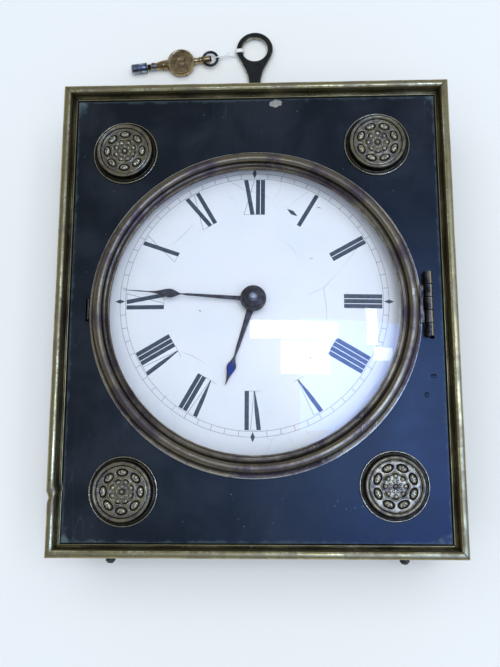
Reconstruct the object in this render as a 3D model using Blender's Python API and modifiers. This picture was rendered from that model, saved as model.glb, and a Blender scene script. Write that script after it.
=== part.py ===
# Sedan clock: a small hanging travelling clock, lying on its back as a reusable assembly.
# Metres. The dial faces +Z, XII is towards +Y, III towards +X, and the back lies at Z = 0.
import math
import bpy
import bmesh
from mathutils import Matrix, Vector

# Overall sizes of the case
case_width = 0.1500
case_height = 0.1800
case_depth = 0.0400
fit_gap = 0.0003
overrun = 0.0010
round_steps = 36
small_steps = 8

# Brass edging round the front
edging_width = 0.0046
edging_rise = 0.0087
edging_leg = 0.0012
edging_leg_drop = 0.0040
mitre_seam = 0.00015

# Wooden box, front board and back board
carcass_wall = 0.0110
panel_thickness = 0.0037
back_thickness = 0.0040
back_rebate = 0.0055

# Round front: the bezel fills the narrower side of the case, and the openings and the dial follow it
extra_height = 0.0150
bezel_margin = 0.0079
bezel_overlap = 0.0040
bezel_frame = 0.0085
dial_overlap = 0.0020
bezel_radius = min(case_width / 2, case_height / 2 - extra_height) - edging_width - bezel_margin
panel_opening_radius = bezel_radius - bezel_overlap
bezel_opening_radius = bezel_radius - bezel_frame

# Dial and movement centre, a little above the centre of the case as on the old clock
dial_offset_x = -0.0005
dial_offset_y = 0.0040
dial_radius = panel_opening_radius + dial_overlap

# Heights worked out from the sizes above
panel_seat_z = case_depth - edging_rise
panel_top_z = panel_seat_z + panel_thickness
carcass_top_z = panel_seat_z - fit_gap
carcass_half_x = case_width / 2 - edging_leg - fit_gap
carcass_half_y = case_height / 2 - edging_leg - fit_gap
inner_half_x = carcass_half_x - carcass_wall
inner_half_y = carcass_half_y - carcass_wall
dial_centre = Vector((dial_offset_x, dial_offset_y, 0))

for old in list(bpy.data.objects):
    bpy.data.objects.remove(old, do_unlink=True)
clock = bpy.data.collections.new("Sedan clock")
cutters = bpy.data.collections.new("Cutters")
bpy.context.scene.collection.children.link(clock)
bpy.context.scene.collection.children.link(cutters)

# Colour, roughness and metallic value of each kind of surface
looks = {
    "brass": ((0.30, 0.25, 0.12), 0.34, 1.0),
    "bright brass": ((0.48, 0.38, 0.17), 0.28, 1.0),
    "gilt": ((0.62, 0.46, 0.20), 0.30, 1.0),
    "dark brass": ((0.09, 0.08, 0.06), 0.45, 1.0),
    "steel": ((0.22, 0.24, 0.28), 0.35, 1.0),
    "blued steel": ((0.03, 0.05, 0.10), 0.30, 1.0),
    "black japan": ((0.012, 0.016, 0.024), 0.32, 0.0),
    "wood": ((0.10, 0.05, 0.03), 0.60, 0.0),
    "enamel": ((0.80, 0.87, 0.92), 0.12, 0.0),
    "glass": ((0.85, 0.92, 0.95), 0.02, 0.0),
    "thread": ((0.80, 0.78, 0.72), 0.90, 0.0),
}


def dress(piece, look):
    colour, roughness, metallic = looks[look]
    finish = bpy.data.materials.new(piece.name + " finish")
    finish.use_nodes = True
    shader = finish.node_tree.nodes["Principled BSDF"]
    shader.inputs["Base Color"].default_value = (*colour, 1)
    shader.inputs["Roughness"].default_value = roughness
    shader.inputs["Metallic"].default_value = metallic
    if look == "glass":
        shader.inputs["Transmission Weight"].default_value = 1
    finish.diffuse_color = (*colour, 1)
    piece.data.materials.clear()
    piece.data.materials.append(finish)
    return piece


# A named object from a bmesh, placed by a matrix, in the clock or among the cutters
def place(name, shape, look=None, matrix=None):
    mesh = bpy.data.meshes.new(name)
    shape.to_mesh(mesh)
    shape.free()
    piece = bpy.data.objects.new(name, mesh)
    if matrix is not None:
        piece.matrix_world = matrix
    if look is None:
        cutters.objects.link(piece)
        piece.hide_render = True
        piece.display_type = 'WIRE'
    else:
        clock.objects.link(piece)
        dress(piece, look)
    return piece


def block(name, low, high, look=None, matrix=None):
    shape = bmesh.new()
    bmesh.ops.create_cube(shape, size=1)
    size = [high[i] - low[i] for i in range(3)]
    middle = [(high[i] + low[i]) / 2 for i in range(3)]
    shape.transform(Matrix.Translation(middle) @ Matrix.Diagonal((*size, 1)))
    return place(name, shape, look, matrix)


# A round bar along local Z from one height to another
def bar(name, radius, low, high, look=None, matrix=None, steps=small_steps):
    shape = bmesh.new()
    bmesh.ops.create_cone(shape, cap_ends=True, segments=steps, radius1=radius, radius2=radius,
                          depth=high - low)
    shape.transform(Matrix.Translation((0, 0, (high + low) / 2)))
    piece = place(name, shape, look, matrix)
    smooth(piece)
    return piece


def smooth(piece):
    piece.data.shade_smooth()
    piece.data.set_sharp_from_angle(angle=math.radians(35))


# A turned solid: the profile is a list of radius and height, a ring where it never meets the axis
def turned(name, profile, look=None, matrix=None, steps=round_steps):
    ring = min(radius for radius, _ in profile) > 0
    area = 0.0
    for (r0, z0), (r1, z1) in zip(profile, profile[1:] + profile[:1]):
        area += r0 * z1 - r1 * z0
    if area > 0:
        profile = profile[::-1]
    shape = bmesh.new()
    points = [shape.verts.new((radius, 0, height)) for radius, height in profile]
    for start, end in zip(points, points[1:]):
        shape.edges.new((start, end))
    if ring:
        shape.edges.new((points[-1], points[0]))
    piece = place(name, shape, look, matrix)
    screw = piece.modifiers.new("Turn", 'SCREW')
    screw.axis = 'Z'
    screw.steps = steps
    screw.render_steps = steps
    screw.use_merge_vertices = True
    screw.merge_threshold = 0.00001
    screw.use_smooth_shade = True
    return piece


# A flat piece cut from sheet: closed outlines, the first the edge and the others the openings
def sheet(name, outlines, thickness, look=None, matrix=None):
    draft_scale = 1000
    curve = bpy.data.curves.new(name, 'CURVE')
    curve.dimensions = '2D'
    curve.fill_mode = 'BOTH'
    curve.extrude = thickness * draft_scale / 2
    for outline in outlines:
        spline = curve.splines.new('POLY')
        spline.points.add(len(outline) - 1)
        for point, (x, y) in zip(spline.points, outline):
            point.co = (x * draft_scale, y * draft_scale, 0, 1)
        spline.use_cyclic_u = True
    guide = bpy.data.objects.new(name + " outline", curve)
    bpy.context.scene.collection.objects.link(guide)
    evaluated = guide.evaluated_get(bpy.context.evaluated_depsgraph_get())
    mesh = bpy.data.meshes.new_from_object(evaluated)
    shape = bmesh.new()
    shape.from_mesh(mesh)
    bmesh.ops.transform(shape, matrix=Matrix.Scale(1 / draft_scale, 4), verts=shape.verts)
    bmesh.ops.remove_doubles(shape, verts=shape.verts, dist=0.000002)
    bmesh.ops.recalc_face_normals(shape, faces=shape.faces)
    bpy.data.objects.remove(guide, do_unlink=True)
    return place(name, shape, look, matrix)


# A wire or thread along points, as a mesh with closed ends
def wire(name, points, radius, look, resolution=2):
    curve = bpy.data.curves.new(name, 'CURVE')
    curve.dimensions = '3D'
    curve.bevel_depth = radius
    curve.bevel_resolution = resolution
    curve.use_fill_caps = True
    spline = curve.splines.new('POLY')
    spline.points.add(len(points) - 1)
    for point, position in zip(spline.points, points):
        point.co = (*position, 1)
    guide = bpy.data.objects.new(name + " path", curve)
    bpy.context.scene.collection.objects.link(guide)
    evaluated = guide.evaluated_get(bpy.context.evaluated_depsgraph_get())
    mesh = bpy.data.meshes.new_from_object(evaluated)
    shape = bmesh.new()
    shape.from_mesh(mesh)
    bmesh.ops.remove_doubles(shape, verts=shape.verts, dist=0.000002)
    bmesh.ops.recalc_face_normals(shape, faces=shape.faces)
    bpy.data.objects.remove(guide, do_unlink=True)
    piece = place(name, shape, look)
    smooth(piece)
    return piece


def boolean(piece, tool, operation):
    if tool.name in clock.objects:
        clock.objects.unlink(tool)
        cutters.objects.link(tool)
        tool.hide_render = True
        tool.display_type = 'WIRE'
    step = piece.modifiers.new(tool.name, 'BOOLEAN')
    step.object = tool
    step.operation = operation
    step.solver = 'EXACT'
    return piece


def cut(piece, *tools):
    for tool in tools:
        boolean(piece, tool, 'DIFFERENCE')
    return piece


def join(piece, *others):
    for other in others:
        boolean(piece, other, 'UNION')
    return piece


# An empty on a joint's axis, which carries the pieces that move about it
def pivot(name, spot, pieces):
    empty = bpy.data.objects.new(name, None)
    empty.location = spot
    clock.objects.link(empty)
    for piece in pieces:
        piece.parent = empty
        piece.matrix_parent_inverse = Matrix.Translation(spot).inverted()


def at(x=0.0, y=0.0, z=0.0, turn=0.0):
    return Matrix.Translation((x, y, z)) @ Matrix.Rotation(turn, 4, 'Z')


# Local Z laid along a direction, local X as near as possible to a second one
def along(origin, direction, side):
    z_axis = Vector(direction).normalized()
    x_axis = (Vector(side) - Vector(side).dot(z_axis) * z_axis).normalized()
    y_axis = z_axis.cross(x_axis)
    turn = Matrix((x_axis, y_axis, z_axis)).transposed().to_4x4()
    return Matrix.Translation(origin) @ turn


def arc(radius, start, end, count, centre=(0, 0)):
    angles = [start + (end - start) * i / (count - 1) for i in range(count)]
    return [(centre[0] + radius * math.cos(a), centre[1] + radius * math.sin(a)) for a in angles]


def circle(radius, count, centre=(0, 0)):
    return arc(radius, 0, 2 * math.pi * (count - 1) / count, count, centre)


# Countersunk wood screw, head up along local Z with its top at 0, and the matching hole
screw_head_radius = 0.0019
screw_head_depth = 0.0014
screw_shank_radius = 0.0009
screw_length = 0.0105
screw_slot_width = 0.0005
screw_slot_depth = 0.0005


def screw(name, matrix, look):
    piece = turned(name, [(0, 0), (screw_head_radius, 0), (screw_head_radius, -fit_gap),
                          (screw_shank_radius, -screw_head_depth), (screw_shank_radius, -screw_length),
                          (0, -screw_length - screw_shank_radius)], look, matrix, steps=small_steps)
    half = screw_slot_width / 2
    slot = block(name + " slot", (-screw_head_radius - overrun, -half, -screw_slot_depth),
                 (screw_head_radius + overrun, half, overrun), matrix=matrix)
    return cut(piece, slot)


def screw_hole(name, matrix):
    wide = screw_head_radius + fit_gap
    narrow = screw_shank_radius + fit_gap
    end = -screw_length - screw_shank_radius - fit_gap
    return turned(name, [(0, overrun), (wide, overrun), (wide, -2 * fit_gap),
                         (narrow, -screw_head_depth - fit_gap), (narrow, end), (0, end)], matrix=matrix,
                  steps=small_steps)


# Wooden box without its front and back
carcass = block("carcass", (-carcass_half_x, -carcass_half_y, 0),
                (carcass_half_x, carcass_half_y, carcass_top_z), "wood")
rebate_half_x = carcass_half_x - back_rebate
rebate_half_y = carcass_half_y - back_rebate
cut(carcass,
    block("carcass inside", (-inner_half_x, -inner_half_y, -overrun),
          (inner_half_x, inner_half_y, carcass_top_z + overrun)),
    block("carcass rebate", (-rebate_half_x, -rebate_half_y, -overrun),
          (rebate_half_x, rebate_half_y, back_thickness + fit_gap)))

# Front board with the round opening, the hinge slot and the catch slot
hinge_middle_y = 0.0015
hinge_length = 0.0246
hinge_knuckle_radius = 0.0017
hinge_pin_radius = 0.0006
hinge_leaf_thickness = 0.0007
hinge_axis_x = bezel_radius + hinge_knuckle_radius + fit_gap
hinge_axis_z = panel_top_z + hinge_knuckle_radius + fit_gap
hinge_leaf_inset = 0.0001
case_leaf_x = hinge_axis_x + hinge_knuckle_radius - hinge_leaf_thickness - hinge_leaf_inset
catch_middle_y = 0.0006
catch_width = 0.0080
catch_thickness = 0.0005
catch_travel = 0.0005
catch_face_x = -bezel_radius - fit_gap
catch_rise = 0.0013
catch_top_z = panel_top_z + catch_rise

panel_half_x = case_width / 2 - edging_width - fit_gap
panel_half_y = case_height / 2 - edging_width - fit_gap
front_panel = block("front_panel", (-panel_half_x, -panel_half_y, panel_seat_z),
                    (panel_half_x, panel_half_y, panel_top_z), "black japan")
cut(front_panel,
    bar("front opening", panel_opening_radius, panel_seat_z - overrun, panel_top_z + overrun,
        steps=round_steps),
    block("hinge slot", (case_leaf_x - fit_gap, hinge_middle_y - hinge_length / 2 - fit_gap,
                         panel_seat_z - overrun),
          (case_leaf_x + hinge_leaf_thickness + fit_gap, hinge_middle_y + hinge_length / 2 + fit_gap,
           panel_top_z + overrun)),
    block("catch slot", (catch_face_x - catch_thickness - catch_travel - fit_gap,
                         catch_middle_y - catch_width / 2 - fit_gap, panel_seat_z - overrun),
          (catch_face_x + fit_gap, catch_middle_y + catch_width / 2 + fit_gap, panel_top_z + overrun)))

# Moulded brass edging, four mitred rails: outer leg, bead, cove and inner fillet
bead_width_share = 0.67
bead_foot_share = 0.74
cove_top_share = 0.70
cove_foot_share = 0.53
fillet_top_share = 0.50
fillet_width_share = 0.10


def edging_section():
    bead_width = bead_width_share * edging_width
    foot = bead_foot_share * edging_rise
    section = [(edging_leg, 0), (edging_leg, -edging_leg_drop), (0, -edging_leg_drop)]
    for step in range(9):
        angle = math.pi * (1 - step / 8)
        section.append((bead_width / 2 * (1 + math.cos(angle)), foot + (edging_rise - foot) * math.sin(angle)))
    cove_start = bead_width + fit_gap
    cove_end = edging_width * (1 - fillet_width_share)
    for step in range(5):
        angle = math.pi / 2 * step / 4
        section.append((cove_start + (cove_end - cove_start) * (1 - math.cos(angle)),
                        edging_rise * (cove_top_share - (cove_top_share - cove_foot_share) * math.sin(angle))))
    section += [(cove_end, fillet_top_share * edging_rise), (edging_width, fillet_top_share * edging_rise),
                (edging_width, 0)]
    return section


def edging_rail(name, length, half_across, turn):
    shape = bmesh.new()
    outer = [shape.verts.new((0, inward, rise)) for inward, rise in edging_section()]
    face = shape.faces.new(outer)
    extruded = bmesh.ops.extrude_face_region(shape, geom=[face])
    far = [v for v in extruded["geom"] if isinstance(v, bmesh.types.BMVert)]
    for vertex in far:
        vertex.co.x = length - vertex.co.y - mitre_seam
    for vertex in outer:
        vertex.co.x = vertex.co.y + mitre_seam
    bmesh.ops.recalc_face_normals(shape, faces=shape.faces)
    spot = Matrix.Rotation(turn, 4, 'Z') @ Matrix.Translation((-length / 2, -half_across, panel_seat_z))
    piece = place(name, shape, "brass", spot)
    smooth(piece)
    return piece


edging_rail("edging_bottom", case_width, case_height / 2, 0)
edging_rail("edging_top", case_width, case_height / 2, math.pi)
edging_rail("edging_right", case_height, case_width / 2, math.pi / 2)
edging_rail("edging_left", case_height, case_width / 2, -math.pi / 2)

# Corner rosettes, set a little askew as on the old clock
rosette_radius = 0.0126
rosette_height = 0.0036
rosette_flange = 0.0005
rosette_rim_radius = 0.0107
rosette_rim_width = 0.0022
rosette_field_drop = 0.0010
rosette_boss_length = 0.0029
rosette_boss_width = 0.0021
rosette_boss_height = 0.0009
rosette_boss_ring = 0.0064
rosette_bead_radius = 0.0013
rosette_bosses = 8
rosette_steps = 20
rosette_inset_x = 0.0260
rosette_inset_y = 0.0250
rosette_shift_x = -0.0002
rosette_shift_y = -0.0009
rosette_twist = math.radians(1.2)
rosette_across = case_width / 2 - rosette_inset_x
rosette_up = case_height / 2 - rosette_inset_y
rosette_base_z = panel_top_z + fit_gap


def rosette(name, side_x, side_y, half_steps):
    middle = Matrix.Rotation(rosette_twist, 3, 'Z') @ Vector((side_x * rosette_across, side_y * rosette_up, 0))
    middle += Vector((rosette_shift_x, rosette_shift_y, 0))
    spot = at(middle.x, middle.y, rosette_base_z, half_steps * math.pi / rosette_bosses + math.pi / 2)
    field = rosette_height - rosette_field_drop
    rim_inner = rosette_rim_radius - rosette_rim_width
    profile = [(0, field + rosette_bead_radius / 2),
               (rosette_bead_radius / 2, field + rosette_bead_radius / 3),
               (rosette_bead_radius, field), (rim_inner, field)]
    for step in range(5):
        angle = math.pi * (1 - step / 4)
        profile.append((rosette_rim_radius + rosette_rim_width / 2 * (math.cos(angle) - 1),
                        field + rosette_field_drop * math.sin(angle)))
    profile += [(rosette_rim_radius - fit_gap, rosette_flange + fit_gap),
                (rosette_radius - fit_gap, rosette_flange), (rosette_radius, rosette_flange / 2),
                (rosette_radius, 0), (0, 0)]
    piece = turned(name, profile, "brass", spot, steps=rosette_steps)
    for index in range(rosette_bosses):
        turn = 2 * math.pi * index / rosette_bosses
        shape = bmesh.new()
        bmesh.ops.create_uvsphere(shape, u_segments=6, v_segments=4, radius=1)
        half_size = (rosette_boss_width / 2, rosette_boss_length / 2, rosette_boss_height, 1)
        shape.transform(Matrix.Diagonal(half_size))
        ring_spot = Matrix.Rotation(turn, 4, 'Z') @ Matrix.Translation((rosette_boss_ring, 0, field))
        boss = place(name + " boss " + str(index), shape, matrix=spot @ ring_spot)
        join(piece, boss)
    return piece


rosette("rosette_top_left", -1, 1, 0)
rosette("rosette_top_right", 1, 1, 1)
rosette("rosette_bottom_left", -1, -1, 0)
rosette("rosette_bottom_right", 1, -1, 1)

# Hanging loop let into the back of the box, with one screw
loop_middle_x = -0.0010
loop_reach = 0.0356
loop_middle_y = case_height / 2 + loop_reach
loop_radius = 0.0081
loop_hole_radius = 0.0057
loop_neck_width = 0.0053
loop_tail_width = 0.0130
loop_thickness = 0.0020
loop_low_z = 0.0010
loop_screw_inset = 0.0040
loop_side_shares = ((0.593, 1.02), (0.463, 1.30), (0.377, 1.58))
loop_open_share = 0.772
loop_neck_share = 1.85
loop_flare_share = 0.62
loop_tail_end = carcass_half_y - carcass_wall + 2 * fit_gap
loop_screw_y = loop_tail_end + loop_screw_inset
loop_mid_z = loop_low_z + loop_thickness / 2


def loop_outline():
    open_angle = math.asin(loop_open_share)
    edge = arc(loop_radius, -math.pi / 2 + open_angle, 3 * math.pi / 2 - open_angle, 27,
               (loop_middle_x, loop_middle_y))
    flare = carcass_half_y + edging_leg
    half_tail = loop_tail_width / 2
    side = [(across * loop_radius, loop_middle_y - below * loop_radius) for across, below in loop_side_shares]
    side += [(loop_neck_width / 2, loop_middle_y - loop_neck_share * loop_radius),
             (half_tail * loop_flare_share, flare + loop_neck_width), (half_tail, flare),
             (half_tail, loop_tail_end)]
    left = [(loop_middle_x - x, y) for x, y in side]
    right = [(loop_middle_x + x, y) for x, y in side[::-1]]
    return edge + left + right


loop_hole = circle(loop_hole_radius, 24, (loop_middle_x, loop_middle_y))
hanging_loop = sheet("hanging_loop", [loop_outline(), loop_hole], loop_thickness, "dark brass",
                     at(z=loop_mid_z))
loop_screw_at = at(loop_middle_x, loop_screw_y, loop_low_z) @ Matrix.Rotation(math.pi, 4, 'X')
screw("loop_screw", loop_screw_at, "dark brass")
cut(hanging_loop, screw_hole("loop screw hole", loop_screw_at))
loop_recess = block("loop recess", (loop_middle_x - loop_tail_width / 2 - fit_gap, inner_half_y, -overrun),
                    (loop_middle_x + loop_tail_width / 2 + fit_gap, carcass_half_y + overrun,
                     loop_low_z + loop_thickness + fit_gap))
loop_screw_room = screw_hole("loop screw hole in box", loop_screw_at)
cut(carcass, loop_recess, loop_screw_room)

# Two round studs under the lower edge
stud_inset = 0.0190
stud_round_share = 0.6
stud_tip_share = 0.15
stud_spread = case_width / 2 - stud_inset
stud_height_z = 0.0150
stud_radius = 0.0019
stud_reach = 0.0060
stud_pin_radius = 0.0009
stud_pin_length = 0.0050
for side_name, side in (("left", -1), ("right", 1)):
    spot = along((side * stud_spread, -carcass_half_y, stud_height_z), (0, -1, 0), (1, 0, 0))
    tip_radius = stud_radius * stud_round_share
    profile = [(0, stud_reach), (tip_radius, stud_reach - stud_radius * stud_tip_share),
               (stud_radius, stud_reach - tip_radius), (stud_radius, fit_gap), (stud_pin_radius, fit_gap),
               (stud_pin_radius, -stud_pin_length), (0, -stud_pin_length)]
    turned("stud_" + side_name, profile, "dark brass", spot, steps=2 * small_steps)
    cut(carcass, bar("stud hole " + side_name, stud_pin_radius + fit_gap, -stud_pin_length - fit_gap, overrun,
                     matrix=spot))

# Back board with the round opening, the seat of the cover and the recess of its hinge
cover_radius = 0.0330
cover_thickness = 0.0014
cover_lip = 0.0030
cover_hinge_radius = 0.0012
cover_pin_radius = 0.0004
cover_hinge_length = 0.0130
cover_leaf_thickness = 0.0007
cover_leaf_width = 0.0060
cover_seat_z = cover_thickness + fit_gap
cover_axis_x = -cover_radius - cover_hinge_radius - fit_gap
cover_axis_z = cover_hinge_radius + fit_gap
back_half_x = rebate_half_x - fit_gap
back_half_y = rebate_half_y - fit_gap
back_screw_inset = 0.0024
back_board = block("back_board", (-back_half_x, -back_half_y, 0), (back_half_x, back_half_y, back_thickness),
                   "wood")
cut(back_board,
    bar("back opening", cover_radius - cover_lip, -overrun, back_thickness + overrun, steps=round_steps),
    bar("cover seat", cover_radius + fit_gap, -overrun, cover_seat_z, steps=round_steps),
    block("cover hinge recess", (cover_axis_x - cover_leaf_width, -cover_hinge_length / 2 - fit_gap, -overrun),
          (-cover_radius + cover_lip, cover_hinge_length / 2 + fit_gap,
           cover_axis_z + cover_hinge_radius + fit_gap)))
cut(back_board, loop_recess, loop_screw_room)
for index, (side_x, side_y) in enumerate(((-1, -1), (1, -1), (1, 1), (-1, 1))):
    corner = at(side_x * (back_half_x - back_screw_inset), side_y * (back_half_y - back_screw_inset))
    spot = corner @ Matrix.Rotation(math.pi, 4, 'X')
    screw("back_screw_" + str(index + 1), spot, "bright brass")
    cut(back_board, screw_hole("back screw hole " + str(index), spot))
    cut(carcass, screw_hole("carcass screw hole " + str(index), spot))


# Knuckles of a hinge along Y, cut for the pin, on a leaf that may lie flat or stand up
def knuckles(name, axis_x, axis_z, radius, bore, spans, leaf_low, leaf_high, look):
    leaf = block(name, leaf_low, leaf_high, look)
    for index, (start, end) in enumerate(spans):
        spot = along((axis_x, 0, axis_z), (0, 1, 0), (1, 0, 0))
        join(leaf, bar(name + " knuckle " + str(index), radius, start, end, matrix=spot, steps=12))
    cut(leaf, bar(name + " bore", bore, spans[0][0] - overrun, spans[-1][1] + overrun,
                  matrix=along((axis_x, 0, axis_z), (0, 1, 0), (1, 0, 0)), steps=small_steps))
    return leaf


def knuckle_spans(middle, length, count, first):
    pitch = length / count
    start = middle - length / 2
    half_gap = fit_gap / 2
    return [(start + pitch * i + half_gap, start + pitch * (i + 1) - half_gap) for i in range(first, count, 2)]


# Round cover of the back, hinged at its outer face
cover_nick = 0.0040
back_cover = turned("back_cover", [(0, cover_thickness), (cover_radius - overrun / 2, cover_thickness),
                                   (cover_radius, cover_thickness - fit_gap), (cover_radius, 0), (0, 0)],
                    "brass", steps=round_steps)
cover_spans = knuckle_spans(0, cover_hinge_length, 3, 1)
hinge_line = along((cover_axis_x, 0, cover_axis_z), (0, 1, 0), (1, 0, 0))
join(back_cover,
     bar("cover knuckle", cover_hinge_radius, *cover_spans[0], matrix=hinge_line, steps=16),
     block("cover tongue", (cover_axis_x, cover_spans[0][0], fit_gap),
           (-cover_radius + cover_lip, cover_spans[0][1], cover_thickness - fit_gap)))
cut(back_cover,
    bar("cover bore", cover_pin_radius + fit_gap, -cover_hinge_length, cover_hinge_length, matrix=hinge_line),
    bar("cover nick", cover_nick, -overrun, fit_gap, matrix=at(cover_radius, 0), steps=24))
board_spans = knuckle_spans(0, cover_hinge_length, 3, 0)
knuckles("cover_hinge_leaf", cover_axis_x, cover_axis_z, cover_hinge_radius, cover_pin_radius + fit_gap,
         board_spans,
         (cover_axis_x - cover_leaf_width + fit_gap, board_spans[0][0],
          cover_axis_z + cover_hinge_radius - cover_leaf_thickness),
         (cover_axis_x - cover_pin_radius - 2 * fit_gap, board_spans[-1][1], cover_axis_z + cover_hinge_radius),
         "brass")
cut(bpy.data.objects["cover_hinge_leaf"],
    block("cover knuckle room",
          (cover_axis_x - cover_hinge_radius - fit_gap, cover_spans[0][0] - fit_gap, -overrun),
          (cover_axis_x + overrun, cover_spans[0][1] + fit_gap, back_thickness)))
bar("cover_hinge_pin", cover_pin_radius, -cover_hinge_length / 2, cover_hinge_length / 2, "steel", hinge_line)
pivot("cover pivot", (cover_axis_x, 0, cover_axis_z), [back_cover])

# Bezel: thin flange, groove, big bead, cove and lip round the opening, with a spigot in the front opening
flange_low = panel_top_z + fit_gap
flange_thickness = 0.0008
flange_width = 0.0018
bezel_height = 0.0064
bezel_bead_width = 0.0042
bezel_bead_rise = 0.0018
bezel_cove_drop = 0.0009
bezel_lip_width = 0.0005
bezel_lip_height = 0.0006
glass_seat_width = 0.0016
glass_seat_rise = 0.0052
glass_seat_radius = bezel_opening_radius + glass_seat_width
glass_seat_z = panel_top_z + glass_seat_rise
spigot_radius = panel_opening_radius - 2 * fit_gap
spigot_depth = 0.0015
bead_outer = bezel_radius - flange_width
bead_inner = bead_outer - bezel_bead_width
bead_foot = panel_top_z + bezel_height - bezel_bead_rise
lip_top = panel_top_z + bezel_height - bezel_lip_height


def bezel_profile():
    profile = [(bezel_radius, flange_low), (bezel_radius, flange_low + flange_thickness),
               (bead_outer + flange_width / 2, flange_low + flange_thickness),
               (bead_outer, flange_low + flange_thickness - fit_gap)]
    for step in range(6):
        angle = math.pi * step / 5
        profile.append(((bead_outer + bead_inner) / 2 + bezel_bead_width / 2 * math.cos(angle),
                        bead_foot + bezel_bead_rise * math.sin(angle)))
    cove = lip_top - bezel_cove_drop
    profile += [((bead_inner + bezel_opening_radius + bezel_lip_width) / 2, cove),
                (bezel_opening_radius + bezel_lip_width, lip_top - fit_gap), (bezel_opening_radius, lip_top),
                (bezel_opening_radius, glass_seat_z), (glass_seat_radius, glass_seat_z),
                (glass_seat_radius, flange_low - spigot_depth), (spigot_radius, flange_low - spigot_depth),
                (spigot_radius, flange_low)]
    return profile


bezel = turned("bezel", bezel_profile(), "brass", steps=round_steps)

# Convex glass with a flat rim, and the ring that holds it in
glass_thickness = 0.0012
glass_rise = 0.0056
glass_rim_width = 0.0015
glass_radius = glass_seat_radius - fit_gap
glass_rim_z = glass_seat_z - fit_gap
glass_ring_height = 0.0010
glass_ring_width = 0.0011
dome_rings = 3


def dome(radius, rise, base, count):
    return [(radius * i / count, base + rise * (1 - (i / count) ** 2)) for i in range(count + 1)]


glass_top = dome(glass_radius - glass_rim_width, glass_rise, glass_rim_z, dome_rings)
glass_under = [(radius, height - glass_thickness) for radius, height in glass_top]
glass_edge = [(glass_radius, glass_rim_z), (glass_radius, glass_rim_z - glass_thickness)]
glass = turned("glass", glass_top + glass_edge + glass_under[::-1], "glass", steps=round_steps)
ring_top = glass_rim_z - glass_thickness - fit_gap
glass_ring = turned("glass_ring", [(glass_radius, ring_top), (glass_radius, ring_top - glass_ring_height),
                                   (glass_radius - glass_ring_width, ring_top - glass_ring_height),
                                   (glass_radius - glass_ring_width, ring_top)], "brass", steps=round_steps)

# Hinge of the bezel at III: five knuckles, the case leaf stands in its slot, the other lies on the flange
case_spans = knuckle_spans(hinge_middle_y, hinge_length, 5, 0)
bezel_spans = knuckle_spans(hinge_middle_y, hinge_length, 5, 1)
hinge_bore = hinge_pin_radius + fit_gap
case_leaf = knuckles("case_hinge_leaf", hinge_axis_x, hinge_axis_z, hinge_knuckle_radius, hinge_bore,
                     case_spans,
                     (case_leaf_x, case_spans[0][0], panel_seat_z + fit_gap),
                     (case_leaf_x + hinge_leaf_thickness, case_spans[-1][1], hinge_axis_z), "brass")
for index, (start, end) in enumerate(bezel_spans):
    cut(case_leaf, block("case leaf room " + str(index),
                         (hinge_axis_x - hinge_knuckle_radius, start - fit_gap, panel_top_z + fit_gap / 2),
                         (case_leaf_x + hinge_leaf_thickness + overrun, end + fit_gap, hinge_axis_z + overrun)))
leaf_low_z = flange_low + flange_thickness + fit_gap
leaf_inner_x = bead_outer + 2 * fit_gap
bezel_leaf = knuckles("bezel_hinge_leaf", hinge_axis_x, hinge_axis_z, hinge_knuckle_radius, hinge_bore,
                      bezel_spans,
         (leaf_inner_x, bezel_spans[0][0], leaf_low_z),
         (hinge_axis_x - hinge_pin_radius - 2 * fit_gap, bezel_spans[-1][1], leaf_low_z + hinge_leaf_thickness),
         "brass")
for index, (start, end) in enumerate(case_spans):
    cut(bezel_leaf,
        block("bezel leaf room " + str(index), (hinge_axis_x - hinge_knuckle_radius - fit_gap, start - fit_gap,
                                                panel_top_z),
              (hinge_axis_x + hinge_knuckle_radius, end + fit_gap, hinge_axis_z + hinge_knuckle_radius)))
bar("bezel_hinge_pin", hinge_pin_radius, hinge_middle_y - hinge_length / 2, hinge_middle_y + hinge_length / 2,
    "steel", along((hinge_axis_x, 0, hinge_axis_z), (0, 1, 0), (1, 0, 0)))
pivot("bezel pivot", (hinge_axis_x, hinge_middle_y, hinge_axis_z), [bezel, glass, glass_ring, bezel_leaf])

# Sprung catch at IX: a strip in a notch of the box wall that stands up through its slot against the flange
catch_length = 0.0180
catch_foot_z = catch_top_z - catch_length
catch = block("bezel_catch", (catch_face_x - catch_thickness, catch_middle_y - catch_width / 2, catch_foot_z),
              (catch_face_x, catch_middle_y + catch_width / 2, catch_top_z), "bright brass")
cut(carcass, block("catch notch", (catch_face_x - catch_thickness - catch_travel - fit_gap,
                                   catch_middle_y - catch_width / 2 - fit_gap, catch_foot_z - fit_gap),
                   (-inner_half_x + overrun, catch_middle_y + catch_width / 2 + fit_gap,
                    carcass_top_z + overrun)))
pivot("catch slide", (catch_face_x, catch_middle_y, catch_top_z), [catch])

# Enamel dial, slightly domed, open in the middle for the arbors of the hands
dial_thickness = 0.0011
dial_dome = 0.0026
dial_hole_radius = 0.0029
dial_covered_share = (panel_opening_radius - dial_centre.length) / dial_radius
dial_rim_z = panel_seat_z - fit_gap - dial_dome * (1 - dial_covered_share ** 2)


def dial_curve(base):
    reach = dial_radius - dial_hole_radius
    rings = [dial_hole_radius + reach * i / dome_rings for i in range(dome_rings + 1)]
    return [(radius, base + dial_dome * (1 - (radius / dial_radius) ** 2)) for radius in rings]


turned("dial", dial_curve(dial_rim_z) + dial_curve(dial_rim_z - dial_thickness)[::-1], "enamel",
       Matrix.Translation(dial_centre), steps=round_steps)

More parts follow.
